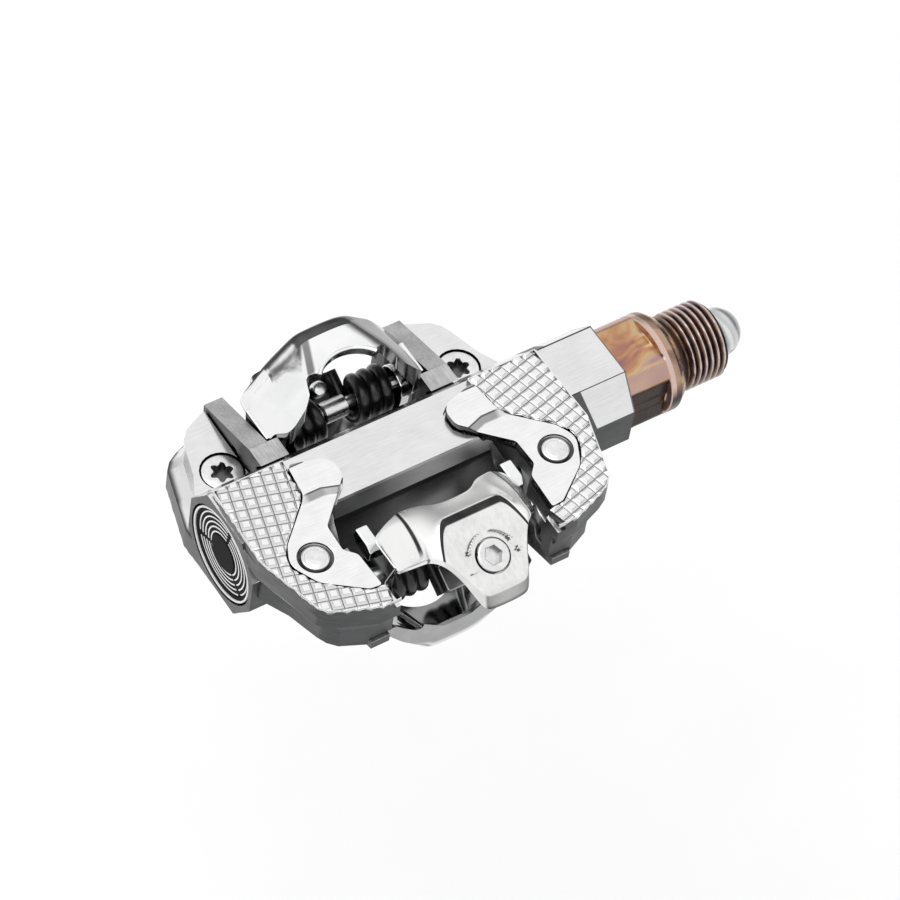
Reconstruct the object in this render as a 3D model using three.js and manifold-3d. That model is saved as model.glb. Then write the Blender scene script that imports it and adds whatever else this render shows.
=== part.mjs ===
// Two-sided clipless bicycle pedal, left-hand side of the bicycle. Millimetres, +Z up.
// +X runs along the spindle towards the crank, +Y is the rider's forward direction on the upper face.
// The lower face is the upper face turned half a turn about the spindle.
import * as THREE from 'three';
import { mergeVertices } from 'three/addons/utils/BufferGeometryUtils.js';
import Module from 'manifold-3d';

const wasm = await Module();
wasm.setup();

// ---- driving dimensions ----
const originX = 19.95;              // middle of the whole length, measured from the middle of the claws
const gap = 0.3;                    // clearance between neighbouring pieces
const past = 1;                     // how far a cutter runs past the face it opens
const sliver = 0.008;               // edges shorter than this are merged away

const outboardX = -32.4;
const crankFaceX = 43.7;
const flatHalfWidth = 5.46;         // barrel: half width of its top flat
const flatZ = 10.2;                 // barrel: height of its top flat
const sideY = 9.94;                 // barrel: half width across its sides
const sideHalfHeight = 3.94;        // barrel: half height of its side flats
const boreR = 7.7;
const capBoreR = 9.25;
const capDepth = 3.1;
const sealBoreR = 8.6;

const wingUnderZ = -0.67;           // the face that takes the screw heads
const bedZ = 9.3;                   // floor of the wear plate's pocket
const padZ = 11.4;                  // top of the knurled pads
const wingBevelTop = 6.6;
const wingBevelFoot = 4.0;
const knurlPitch = 2.05;
const knurlTurn = 0.27;             // radians that the knurl is turned out of square
const knurlDepth = 0.42;

const wingScrewX = 23.6;
const wingScrewY = -14.2;
const screwHeadR = 3.65;
const screwShankR = 2.42;
const screwTipZ = 11.2;

const plateTopZ = 11.1;             // wear plate: the lobe round the screw
const plateRaisedZ = 11.8;          // wear plate: the raised pad over the barrel
const plateBaseZ = bedZ + gap;

const pivotY = -17;                 // claw hinge, level with the spindle
const pinR = 1.2;
const pinHoleR = 1.5;
const pinHalfLength = 19.2;
const earInner = 11.7;
const earOuter = 13.7;
const legInner = 14.1;
const legOuter = 15.7;
const carrierInner = 16.0;
const carrierOuter = 19.6;
const carrierBaseZ = -2.7;          // underside round the pin
const carrierTailZ = -0.4;          // underside of the thin tail
const carrierStepY = 22.2;          // where the deep part ends and the tail starts

const clawSlope = 28 * Math.PI / 180;   // the claw's upper plate falls away to the rear
const headY = -30.6;                    // tension screw: middle of its head
const headZ = 16.6;
const tensionHeadR = 2.85;
const tensionShankR = 1.45;
const tensionLength = 20;
const nutTop = -14.4;                   // nut bar, measured down the tension screw
const nutBottom = -16.6;

const coilR = 3.15;
const wireR = 1.05;
const coilInnerX = 3.5;
const coilOuterX = 10.5;

const threadR = 7.14;               // 9/16 inch
const threadPitch = 1.27;           // 20 turns per inch, left-handed
const threadDepth = 0.72;
const threadStartX = 57.4;
const threadEndX = 66.2;
const collarR = 9.1;
const wrenchHalf = 7.5;
const hollowR = 4.0;
const bearingInnerR = 5.2;
const bearingOuterR = 7.4;
const nutThreadR = 3.7;             // outboard end of the spindle, which takes the lock nut
const domeR = 4.5;
const domeCentreX = 67.8;

// ---- helpers ----
function toManifold(geometry) {
  const bare = geometry.clone();
  bare.deleteAttribute('normal');
  bare.deleteAttribute('uv');
  const merged = mergeVertices(bare, 1e-4);
  return new wasm.Manifold(new wasm.Mesh({
    numProp: 3,
    vertProperties: new Float32Array(merged.attributes.position.array),
    triVerts: new Uint32Array(merged.index.array),
  }));
}

function toGeometry(solid) {
  const mesh = solid.simplify(sliver).getMesh();
  const geometry = new THREE.BufferGeometry();
  geometry.setAttribute('position', new THREE.BufferAttribute(new Float32Array(mesh.vertProperties), 3));
  geometry.setIndex(new THREE.BufferAttribute(new Uint32Array(mesh.triVerts), 1));
  geometry.computeVertexNormals();
  return geometry;
}

function union(solids) {
  return solids.reduce((sum, solid) => sum.add(solid));
}

// an outline of [x, y] pairs pushed along +Z
function slab(outline, zLow, zHigh) {
  const shape = new THREE.Shape(outline.map(([x, y]) => new THREE.Vector2(x, y)));
  const geometry = new THREE.ExtrudeGeometry(shape, { depth: zHigh - zLow, bevelEnabled: false });
  geometry.translate(0, 0, zLow);
  return toManifold(geometry);
}

// an outline of [y, z] pairs pushed along +X
function profileAlongX(outline, xLow, xHigh) {
  const shape = new THREE.Shape(outline.map(([y, z]) => new THREE.Vector2(y, z)));
  const geometry = new THREE.ExtrudeGeometry(shape, { depth: xHigh - xLow, bevelEnabled: false });
  geometry.applyMatrix4(new THREE.Matrix4().set(0, 0, 1, xLow, 1, 0, 0, 0, 0, 1, 0, 0, 0, 0, 0, 1));
  return toManifold(geometry);
}

function rodX(radius, xLow, xHigh, y, z, sides) {
  const geometry = new THREE.CylinderGeometry(radius, radius, xHigh - xLow, sides);
  geometry.rotateZ(-Math.PI / 2);
  geometry.translate((xLow + xHigh) / 2, y, z);
  return toManifold(geometry);
}

function rodZ(radius, zLow, zHigh, x, y, sides) {
  const geometry = new THREE.CylinderGeometry(radius, radius, zHigh - zLow, sides);
  geometry.rotateX(Math.PI / 2);
  geometry.translate(x, y, (zLow + zHigh) / 2);
  return toManifold(geometry);
}

// a profile of [radius, x] pairs turned about the spindle
function turned(profile, sides) {
  const points = profile.map(([radius, x]) => new THREE.Vector2(radius, x));
  const geometry = new THREE.LatheGeometry(points, sides);
  geometry.rotateZ(-Math.PI / 2);
  return toManifold(geometry);
}

function ring(inner, outer, xLow, xHigh, sides) {
  return rodX(outer, xLow, xHigh, 0, 0, sides)
    .subtract(rodX(inner, xLow - past, xHigh + past, 0, 0, sides));
}

// a closed skin over rings of equally many points
function loft(rings) {
  const count = rings[0].length;
  const positions = [];
  const index = [];
  rings.forEach((points) => points.forEach((point) => positions.push(...point)));
  for (let i = 0; i + 1 < rings.length; i += 1) {
    for (let j = 0; j < count; j += 1) {
      const a = i * count + j;
      const b = i * count + (j + 1) % count;
      index.push(a, b, b + count, a, b + count, a + count);
    }
  }
  [0, rings.length - 1].forEach((end) => {
    const flat = capTriangles(rings[end]);
    const base = end * count;
    flat.forEach(([a, b, c]) => {
      if (end === 0) index.push(base + a, base + c, base + b);
      else index.push(base + a, base + b, base + c);
    });
  });
  return closedSolid(positions, index);
}

// a solid from a closed skin, turned inside out if its faces point inwards
function closedSolid(positions, index) {
  const geometry = new THREE.BufferGeometry();
  geometry.setAttribute('position', new THREE.BufferAttribute(new Float32Array(positions), 3));
  geometry.setIndex(index);
  const solid = toManifold(geometry);
  if (solid.volume() > 0) return solid;
  geometry.setIndex(reversed(index));
  return toManifold(geometry);
}

function reversed(index) {
  const turnedOver = [];
  for (let i = 0; i < index.length; i += 3) turnedOver.push(index[i], index[i + 2], index[i + 1]);
  return turnedOver;
}

// triangles of one flat end ring, found in the plane it is widest in
function capTriangles(points) {
  const vectors = points.map((point) => new THREE.Vector3(...point));
  const normal = new THREE.Vector3();
  vectors.forEach((p, i) => {
    const q = vectors[(i + 1) % vectors.length];
    normal.add(new THREE.Vector3().crossVectors(p, q));
  });
  normal.normalize();
  const across = new THREE.Vector3(1, 0, 0);
  if (Math.abs(normal.x) > 0.9) across.set(0, 1, 0);
  const up = new THREE.Vector3().crossVectors(normal, across).normalize();
  across.crossVectors(up, normal);
  const flat = vectors.map((p) => new THREE.Vector2(p.dot(across), p.dot(up)));
  return THREE.ShapeUtils.triangulateShape(flat, []);
}

function circlePoints(radius, cx, cy, sides, from = 0, to = 2 * Math.PI) {
  const closed = to - from >= 2 * Math.PI;
  const count = closed ? sides : sides + 1;
  return Array.from({ length: count }, (_, i) => {
    const angle = from + (to - from) * i / sides;
    return [cx + radius * Math.cos(angle), cy + radius * Math.sin(angle)];
  });
}

// an outline drawn for the right-hand side, mirrored when side is -1
function sided(outline, side) {
  const placed = outline.map(([x, y]) => [side * x, y]);
  return side < 0 ? placed.reverse() : placed;
}

// every edge of a counter-clockwise outline moved outwards by distance
function grown(outline, distance) {
  const area = outline.reduce((sum, [x, y], i) => {
    const [nx, ny] = outline[(i + 1) % outline.length];
    return sum + x * ny - nx * y;
  }, 0);
  const turn = area > 0 ? 1 : -1;
  return outline.map(([x, y], i) => {
    const [px, py] = outline[(i + outline.length - 1) % outline.length];
    const [nx, ny] = outline[(i + 1) % outline.length];
    const before = new THREE.Vector2(x - px, y - py).normalize();
    const after = new THREE.Vector2(nx - x, ny - y).normalize();
    const normal = new THREE.Vector2(before.y + after.y, -before.x - after.x).normalize();
    const lift = turn * distance / Math.max(0.4, normal.dot(new THREE.Vector2(before.y, -before.x)));
    return [x + normal.x * lift, y + normal.y * lift];
  });
}

function halfTurn(solid) {
  return solid.rotate([180, 0, 0]);
}

// the hole for a hinge pin, through everything at that distance from the spindle
function pinBore(y) {
  return rodX(pinHoleR, -pinHalfLength - past, pinHalfLength + past, y, 0, 16);
}

// ---- outlines seen from above, right-hand side ----
const wingOutline = [
  [14.6, -4], [32.2, -4], [32.2, -10.9], [28.7, -23], [27.4, -24.5], [25.4, -25.6],
  [19.1, -27.95], [15.4, -27.95], [15.4, -24.4], [16.4, -24], [16.7, -16.9], [18.4, -15.3],
  [18.4, -10.1],
];
const wingFootOutline = [
  [14.6, -4], [31.4, -4], [31.0, -10.6], [28.4, -15.6], [26.6, -21.4], [25.8, -23.1],
  [24.4, -24.6], [19.9, -26.6], [15.4, -26.6], [15.4, -24.4], [16.4, -24], [16.7, -16.9], [18.4, -15.3],
  [18.4, -10.1],
];
const padOutline = [
  [18.2, 5.1], [31.8, 5.1], [32.2, -10.9], [28.7, -23], [27.4, -24.5], [25.4, -25.6],
  [19.1, -27.95], [15.4, -27.95], [15.4, -24.4], [17.5, -24.1], [20, -20], [21, -12], [18.9, -3],
];
const plateOutline = [
  [17.7, 3.5], [12.6, 2.2], [11.4, 1.2], [11.0, 0], [11.1, -2.1], [12.2, -3.7], [14.2, -5.4],
  [18.4, -9.5], [18.8, -10.3], [18.8, -14.9], [17.0, -16.9], [16.7, -23.9], [18.9, -23.7],
  [25.2, -18.9], [27.2, -16.3], [27.9, -13.9], [27.5, -11.8], [26.2, -10], [19.4, -3.4],
  [18.6, -1.7], [18.5, 2.7],
];
const plateStepY = -4.3;
const plateStepRun = 0.7;

// ---- pedal body ----
function barrelOutline(extra) {
  const corners = [
    [flatHalfWidth, flatZ], [sideY, sideHalfHeight], [sideY, -sideHalfHeight], [flatHalfWidth, -flatZ],
    [-flatHalfWidth, -flatZ], [-sideY, -sideHalfHeight], [-sideY, sideHalfHeight], [-flatHalfWidth, flatZ],
  ];
  return corners.map(([y, z]) => {
    const scale = 1 + extra / Math.hypot(y, z);
    return [y * scale, z * scale];
  });
}

function wing(side) {
  const inner = slab(sided(wingFootOutline, side), wingUnderZ, bedZ);
  const outer = slab(sided(wingOutline, side), wingBevelTop, bedZ);
  return union([inner, outer, wingBevel(side)]);
}

// the slope between the narrower foot and the wider top of a wing
function wingBevel(side) {
  const low = [[31.0, -6], [31.0, -10.6], [28.4, -15.6], [26.6, -21.4], [25.8, -23.1], [24.4, -24.6],
    [19.9, -26.6], [16, -26.6], [16, -22], [20, -6]];
  const high = [[32.2, -6], [32.2, -10.9], [30.6, -16.5], [28.7, -23], [27.4, -24.5], [25.4, -25.6],
    [19.1, -27.95], [16, -27.95], [16, -22], [20, -6]];
  const at = (outline, z) => outline.map(([x, y]) => [side * x, y, z]);
  return loft([at(low, wingBevelFoot), at(high, wingBevelTop + 0.05)]);
}

function knurledPad(side) {
  return knurlBlock(side)
    .intersect(slab(sided(padOutline, side), bedZ - past, padZ + past))
    .subtract(slab(sided(grown(plateOutline, gap), side), bedZ, padZ + past));
}

// a field of square pyramids, turned out of square with the spindle, on a solid block
function knurlBlock(side) {
  const across = 11;
  const along = 19;
  const centre = new THREE.Vector2(24, -11.4);
  const positions = [];
  const index = [];
  const place = (u, v, z) => {
    const point = new THREE.Vector2(u - across / 2, v - along / 2).multiplyScalar(knurlPitch);
    point.rotateAround(new THREE.Vector2(), knurlTurn).add(centre);
    return positions.push(side * point.x, point.y, z) / 3 - 1;
  };
  const valley = [];
  for (let v = 0; v <= along; v += 1) {
    for (let u = 0; u <= across; u += 1) valley.push(place(u, v, padZ - knurlDepth));
  }
  for (let v = 0; v < along; v += 1) {
    for (let u = 0; u < across; u += 1) {
      const peak = place(u + 0.5, v + 0.5, padZ);
      const a = valley[v * (across + 1) + u];
      const d = valley[(v + 1) * (across + 1) + u];
      index.push(a, a + 1, peak, a + 1, d + 1, peak, d + 1, d, peak, d, a, peak);
    }
  }
  const rim = [];
  for (let u = 0; u < across; u += 1) rim.push([u, 0]);
  for (let v = 0; v < along; v += 1) rim.push([across, v]);
  for (let u = across; u > 0; u -= 1) rim.push([u, along]);
  for (let v = along; v > 0; v -= 1) rim.push([0, v]);
  const top = rim.map(([u, v]) => valley[v * (across + 1) + u]);
  const bottom = rim.map(([u, v]) => place(u, v, bedZ - 0.2));
  const middle = place(across / 2, along / 2, bedZ - 0.2);
  rim.forEach((_, i) => {
    const j = (i + 1) % rim.length;
    index.push(top[j], top[i], bottom[i], top[j], bottom[i], bottom[j], bottom[j], bottom[i], middle);
  });
  return closedSolid(positions, index);
}

// what one face needs cut out of the body; the other face is its half turn
function faceCuts(side) {
  const cuts = [];
  cuts.push(slab(sided(grown(plateOutline, gap), side), bedZ, padZ + past));
  cuts.push(rodZ(screwShankR + gap, wingUnderZ - past, padZ + past, side * wingScrewX, wingScrewY, 16));
  cuts.push(rodZ(screwHeadR + gap, wingUnderZ - past, 2.3, side * wingScrewX, wingScrewY, 24));
  const room = (near, far) => sided([[legInner - gap, -far], [carrierOuter + gap, -far],
    [carrierOuter + gap, -near], [legInner - gap, -near]], side);
  cuts.push(slab(room(sideY + 0.06, carrierStepY + gap), wingUnderZ - past, gap - carrierBaseZ));
  cuts.push(slab(room(sideY + 0.06, 30), wingUnderZ - past, gap - carrierTailZ));
  return cuts;
}

function clawScoop() {
  const scoopR = 8.3;
  const scoopY = -15.5;
  const scoopZ = 7.6;
  return rodX(scoopR, -15.5, 15.5, scoopY, scoopZ, 32);
}

function pedalBody() {
  let solid = profileAlongX(barrelOutline(0), outboardX, crankFaceX);
  solid = solid.subtract(clawScoop()).subtract(halfTurn(clawScoop()));
  [1, -1].forEach((side) => {
    solid = solid.add(wing(side)).add(halfTurn(wing(side)));
    solid = solid.add(knurledPad(side)).add(halfTurn(knurledPad(side)));
  });
  [1, -1].forEach((side) => {
    faceCuts(side).forEach((cut) => {
      solid = solid.subtract(cut).subtract(halfTurn(cut));
    });
  });
  solid = solid.subtract(rodX(boreR, outboardX - past, crankFaceX + past, 0, 0, 32));
  solid = solid.subtract(rodX(capBoreR, outboardX - past, outboardX + capDepth, 0, 0, 32));
  solid = solid.subtract(rodX(sealBoreR, crankFaceX - 4, crankFaceX + past, 0, 0, 32));
  return solid;
}

// ---- parts on one face ----
function wearPlate(side) {
  const lobe = slab(sided(plateOutline, side), plateBaseZ, plateTopZ);
  const raised = slab(sided(plateOutline, side), plateBaseZ, plateRaisedZ);
  const far = 8;
  const slope = [
    [plateStepY - plateStepRun, plateTopZ - 0.01], [plateStepY, plateRaisedZ + 0.01],
    [far, plateRaisedZ + 0.01], [far, plateBaseZ - past], [plateStepY - plateStepRun, plateBaseZ - past],
  ];
  const keep = profileAlongX(slope, -40, 40);
  const hole = rodZ(3.1, plateBaseZ - past, plateRaisedZ + past, side * wingScrewX, wingScrewY, 20);
  return lobe.add(raised.intersect(keep)).subtract(hole);
}

function wingScrew(side) {
  const headFaceZ = wingUnderZ + 0.15;
  const headTopZ = 1.9;
  const head = rodZ(screwHeadR, headFaceZ, headTopZ, 0, 0, 20);
  const shank = rodZ(screwShankR, headTopZ - 0.5, screwTipZ, 0, 0, 16);
  const star = Array.from({ length: 12 }, (_, i) => {
    const angle = 2 * Math.PI * i / 12;
    const radius = 1.75 + 0.32 * Math.cos(6 * angle);
    return [radius * Math.cos(angle), radius * Math.sin(angle)];
  });
  return head.add(shank)
    .subtract(slab(star, headFaceZ - past, headFaceZ + 1.6))
    .translate([side * wingScrewX, wingScrewY, 0]);
}

// side plate that holds one end of the pivot pin and backs the fixed hook, far end of the upper face
function carrier(side) {
  const farY = 27.2;
  const strip = [
    [farY, carrierTailZ], [farY, 1.4], [12.6, 5.9], [8.9, 5.9], [10.25, 4.1], [10.25, carrierBaseZ],
    [carrierStepY - 1, carrierBaseZ], [carrierStepY, carrierTailZ],
  ];
  const foot = [[12.9, carrierBaseZ], [12.9, 5.9], [8.9, 5.9], [10.25, 4.1], [10.25, carrierBaseZ]];
  const inner = side * carrierInner;
  const outer = side * carrierOuter;
  const footEnd = side * legInner;
  const plate = profileAlongX(strip, Math.min(inner, outer), Math.max(inner, outer));
  const shelf = profileAlongX(foot, Math.min(footEnd, outer), Math.max(footEnd, outer));
  const pinHole = pinBore(-pivotY);
  return plate.add(shelf).subtract(pinHole);
}

// arched loop that the front of a cleat slides under, far end of the upper face
function fixedHook() {
  const footZ = 4.3;
  const arch = (y, halfTop, topZ, depth) => [
    [-legOuter, y, footZ], [-halfTop, y, topZ], [halfTop, y, topZ], [legOuter, y, footZ],
    [legOuter - depth * 1.3, y, footZ], [halfTop - depth * 0.42, y, topZ - depth],
    [-halfTop + depth * 0.42, y, topZ - depth], [-legOuter + depth * 1.3, y, footZ],
  ];
  const shell = 2.4;
  const hood = loft([
    arch(10.4, 8.9, 14.3, shell), arch(15.6, 7.6, 16.0, shell),
    arch(22.9, 5.0, 16.0, shell), arch(24.2, 4.2, 14.9, shell),
  ]);
  const brow = loft([arch(21.8, 5.3, 15.6, 5.0), arch(22.9, 5.0, 16.0, 5.4), arch(24.2, 4.2, 14.9, 4.3)]);
  const lip = circlePoints(6.9, 0, 10.5, 12, Math.PI * 0.78, Math.PI * 0.22);
  const half = [[7.7, 15.7], [8.7, 12.6], [9.9, 11.4], [12.9, 10.7], [14.4, 13.3], [15.8, 13.6],
    [15.8, 23.4], [5.2, 24.3]];
  const outline = [...lip, ...half, ...sided(half, -1)];
  const trimmed = hood.intersect(slab(outline, footZ - past, 20)).add(brow);
  const legs = [1, -1].map((side) => {
    const low = Math.min(side * legInner, side * legOuter);
    const high = Math.max(side * legInner, side * legOuter);
    const legOutline = [
      [20.2, footZ + 0.8], [13.8, footZ + 0.8], ...circlePoints(3.0, -pivotY, 0, 8, Math.PI, 2 * Math.PI),
    ];
    return profileAlongX(legOutline, low, high);
  });
  const pinHole = pinBore(-pivotY);
  return union([trimmed, ...legs]).subtract(pinHole);
}

// sprung claw that takes the back of a cleat, near end of the upper face
function sprungClaw() {
  // stations across the width: x, then [y, z] of lip, crease, rear edge and flange foot
  const station = (x, lip, crease, middle, rear, foot, thick) => {
    const down = (point, dy, dz) => [x, point[0] + dy, point[1] + dz];
    return [
      [x, ...lip], [x, ...crease], [x, ...middle], [x, ...rear], [x, ...foot],
      down(foot, 2.0, 0.1), down(rear, 2.1, -1.6), down(middle, 0.6, -thick), down(crease, 0.2, -thick - 0.3),
      down(lip, -1.6, -thick + 0.5), down(lip, 0.1, -thick + 0.9),
    ];
  };
  const half = [
    station(0, [-18.2, 17.4], [-22.5, 20.1], [-29, 16.9], [-35.4, 13.9], [-36.6, 10.3], 2.3),
    station(3.2, [-18.0, 17.3], [-22.5, 20.1], [-29, 16.9], [-35.4, 13.9], [-36.6, 10.3], 2.3),
    station(4.5, [-17.2, 16.8], [-22.5, 20.1], [-29, 16.9], [-35.2, 13.9], [-36.2, 10.5], 2.3),
    station(6.0, [-15.8, 15.9], [-22.6, 20.0], [-28, 17.4], [-31.6, 15.7], [-31.9, 14.6], 2.3),
    station(8.6, [-15.5, 15.6], [-24.7, 18.9], [-26.6, 18.1], [-28.0, 17.4], [-28.3, 16.4], 2.3),
    station(9.8, [-15.7, 15.7], [-23.6, 16.0], [-25.6, 15.3], [-27.2, 14.6], [-27.4, 13.8], 2.3),
    station(earOuter, [-15.7, 12.4], [-19.5, 12.6], [-21.8, 12.5], [-23.4, 12.3], [-23.5, 11.6], 2.2),
  ];
  const mirrored = half.slice(1).reverse().map((points) => points.map(([x, y, z]) => [-x, y, z]));
  const roof = loft([...mirrored, ...half]);
  const ears = [1, -1].map((side) => {
    const low = Math.min(side * earInner, side * earOuter);
    const high = Math.max(side * earInner, side * earOuter);
    const outline = [
      ...circlePoints(3.4, pivotY, 0, 8, Math.PI, 2 * Math.PI),
      [-14.3, 6], [-15.8, 11.6], [-22.6, 11.9], [-20.8, 6],
    ];
    return profileAlongX(outline, low, high);
  });
  const boss = rodZ(4.4, -4.2, -1.2, 0, 0, 20);
  const placed = (solid) => solid.rotate([clawSlope * 180 / Math.PI, 0, 0]).translate([0, headY, headZ]);
  const pinHole = pinBore(pivotY);
  return union([roof, ...ears, placed(boss)])
    .subtract(placed(rodZ(tensionHeadR + gap, -2.6, 6, 0, 0, 24)))
    .subtract(placed(rodZ(tensionShankR + gap, -8, 6, 0, 0, 16)))
    .subtract(pinHole);
}

// drawn upright: the head's face is at 0 and the shank points down
function tensionScrew() {
  const headHeight = 2.2;
  const head = rodZ(tensionHeadR, -headHeight, 0.1, 0, 0, 24);
  const shank = rodZ(tensionShankR, -tensionLength, -headHeight + 0.2, 0, 0, 16);
  const socket = circlePoints(1.7, 0, 0, 6);
  return head.add(shank).subtract(slab(socket, -1.6, past));
}

function tensionNut() {
  const halfLength = 4;
  const halfWidth = 2.4;
  const chamfer = 0.8;
  const outline = [
    [halfLength, halfWidth - chamfer], [halfLength - chamfer, halfWidth], [chamfer - halfLength, halfWidth],
    [-halfLength, halfWidth - chamfer], [-halfLength, chamfer - halfWidth], [chamfer - halfLength, -halfWidth],
    [halfLength - chamfer, -halfWidth], [halfLength, chamfer - halfWidth],
  ];
  return slab(outline, nutBottom, nutTop)
    .subtract(rodZ(tensionShankR + gap, nutBottom - past, nutTop + past, 0, 0, 16));
}

class SpringLine extends THREE.Curve {
  constructor(side) {
    super();
    this.side = side;
    this.anchorLeg = 4.3;
    this.nutLeg = 7.5;
    this.start = Math.PI / 2;
    this.sweep = 2 * Math.PI * 3 + clawSlope;
    this.coilLength = Math.hypot(this.sweep * coilR, coilOuterX - coilInnerX);
    this.total = this.anchorLeg + this.coilLength + this.nutLeg;
  }

  getPoint(t, target = new THREE.Vector3()) {
    const s = t * this.total;
    const turn = Math.min(Math.max((s - this.anchorLeg) / this.coilLength, 0), 1);
    const angle = this.start + this.sweep * turn;
    let y = pivotY + coilR * Math.cos(angle);
    let z = coilR * Math.sin(angle);
    const beyond = s - this.anchorLeg - this.coilLength;
    if (s < this.anchorLeg) y += this.anchorLeg - s;
    if (beyond > 0) {
      y -= Math.sin(angle) * beyond;
      z += Math.cos(angle) * beyond;
    }
    return target.set(this.side * (coilOuterX + (coilInnerX - coilOuterX) * turn), y, z);
  }
}

function clawSpring(side) {
  const section = new THREE.Shape(circlePoints(wireR, 0, 0, 5).map(([x, y]) => new THREE.Vector2(x, y)));
  const geometry = new THREE.ExtrudeGeometry(section, {
    steps: 44, bevelEnabled: false, extrudePath: new SpringLine(side),
  });
  const solid = toManifold(geometry);
  if (solid.volume() > 0) return solid;
  const flipped = mergeVertices(bareCopy(geometry), 1e-4);
  flipped.setIndex(reversed(Array.from(flipped.index.array)));
  return toManifold(flipped);
}

function bareCopy(geometry) {
  const bare = geometry.clone();
  bare.deleteAttribute('normal');
  bare.deleteAttribute('uv');
  return bare;
}

function pivotPin() {
  return rodX(pinR, -pinHalfLength, pinHalfLength, pivotY, 0, 16);
}

function spacerTube() {
  const halfLength = 2.3;
  return rodX(1.95, -halfLength, halfLength, pivotY, 0, 16)
    .subtract(rodX(pinHoleR, -halfLength - past, halfLength + past, pivotY, 0, 16));
}

// ---- spindle and what is on its axis ----
// a left-handed thread: crest and root lines wound along the rod, which is cut square at both ends
function threadSolid() {
  const sides = 16;
  const startX = threadStartX - 1.6 * threadPitch;
  const rows = 2 * Math.ceil((threadEndX - startX) / threadPitch) + 4;
  const positions = [];
  const index = [];
  for (let i = 0; i < rows; i += 1) {
    const radius = i % 2 ? threadR : threadR - threadDepth;
    for (let j = 0; j < sides; j += 1) {
      const angle = -2 * Math.PI * j / sides;
      const x = startX + threadPitch * (i / 2 + j / sides);
      positions.push(x, radius * Math.cos(angle), radius * Math.sin(angle));
    }
  }
  const at = (i, j) => (j < sides ? i * sides + j : (i + 2) * sides);
  for (let i = 0; i + 1 < rows; i += 1) {
    const last = i + 3 < rows ? sides : sides - 1;
    for (let j = 0; j < last; j += 1) {
      index.push(at(i, j), at(i, j + 1), at(i + 1, j + 1), at(i, j), at(i + 1, j + 1), at(i + 1, j));
    }
  }
  const lowLoop = Array.from({ length: sides }, (_, j) => at(0, j));
  const highLoop = Array.from({ length: sides }, (_, j) => at(rows - 1, j));
  lowLoop.push(at(2, 0), at(1, 0));
  highLoop.push(at(rows - 2, sides - 1), at(rows - 3, sides - 1));
  const lowMiddle = positions.push(startX - threadPitch, 0, 0) / 3 - 1;
  const highMiddle = positions.push(startX + threadPitch * (rows / 2 + 1), 0, 0) / 3 - 1;
  lowLoop.forEach((a, k) => index.push(lowLoop[(k + 1) % lowLoop.length], a, lowMiddle));
  highLoop.forEach((a, k) => index.push(a, highLoop[(k + 1) % highLoop.length], highMiddle));
  return closedSolid(positions, index);
}

function spindle() {
  const shaft = turned([
    [0, -28.6], [3.4, -28.6], [nutThreadR, -28.3], [nutThreadR, -26.3], [4.9, -26.3], [4.9, -7], [5.6, -6.3],
    [5.6, 19], [6.5, 20], [6.5, 38.6], [7.5, 39.4], [7.5, 44.0], [collarR, 44.0], [collarR, 54.7],
    [7.9, 56.2], [7.2, 56.2], [6.5, 56.9], [6.4, 57.6], [0, 57.6],
  ], 32);
  const flats = [0, 1, 2, 3].map((quarter) => {
    const reach = 12;
    const block = slab([[44.3, -reach], [52.4, -reach], [52.4, reach], [44.3, reach]], wrenchHalf, reach);
    return block.rotate([90 * quarter, 0, 0]);
  });
  const tipChamfer = turned([[0, threadEndX - 2], [threadR + 0.6, threadEndX - 2], [threadR + 0.6, threadEndX - 0.9],
    [threadR - 0.6, threadEndX], [0, threadEndX]], 16);
  const lead = rodX(threadR + past, threadStartX, threadEndX - 1.9, 0, 0, 16);
  const thread = threadSolid().intersect(lead.add(tipChamfer));
  const hollow = rodX(hollowR, 30, threadEndX + past, 0, 0, 24);
  return flats.reduce((solid, flat) => solid.subtract(flat), shaft.add(thread)).subtract(hollow);
}

function antennaDome() {
  const profile = [[0, 62.6], [3.65, 62.6], [3.65, threadEndX + gap], [domeR, threadEndX + gap], [domeR, domeCentreX]];
  circlePoints(domeR, 0, 0, 6, 0, Math.PI / 2).slice(1, -1).forEach(([radius, dx]) => {
    profile.push([radius, domeCentreX + dx]);
  });
  profile.push([0, domeCentreX + domeR]);
  return turned(profile, 24);
}

function batteryCell() {
  return turned([[0, 31], [3.5, 31], [3.5, 48.6], [1.6, 48.6], [1.6, 49.3], [0, 49.3]], 16);
}

function sensorBoard() {
  const board = slab([[50.4, -3.3], [61.6, -3.3], [61.6, 3.3], [50.4, 3.3]], -0.5, 0.5);
  const chip = slab([[53, -1.6], [57, -1.6], [57, 1.6], [53, 1.6]], 0.4, 1.5);
  const coil = slab([[58, -1.4], [60.6, -1.4], [60.6, 1.4], [58, 1.4]], -1.3, -0.4);
  return union([board, chip, coil]);
}

function outboardCap() {
  const faceX = outboardX + 0.35;
  const innerX = outboardX + capDepth - gap;
  const rim = capBoreR - gap;
  const grooveDepth = 0.4;
  const profile = [[0, innerX], [rim, innerX], [rim, innerX - 0.8], [rim - 0.65, innerX - 0.8],
    [rim - 0.65, innerX - 1.6], [rim, innerX - 1.6], [rim, faceX + 0.3], [rim - 0.3, faceX]];
  for (let k = 0; k < 3; k += 1) {
    const radius = rim - 1.1 - 1.5 * k;
    profile.push([radius, faceX], [radius - 0.4, faceX + grooveDepth], [radius - 0.8, faceX]);
  }
  profile.push([3.5, faceX], [3.4, faceX + 0.2], [0, faceX + 0.2]);
  return turned(profile.reverse(), 24);
}

function capSeal() {
  const centreX = outboardX + capDepth - gap - 1.2;
  const section = circlePoints(0.33, 8.78, centreX, 6);
  return turned([...section, section[0]], 16);
}

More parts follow.
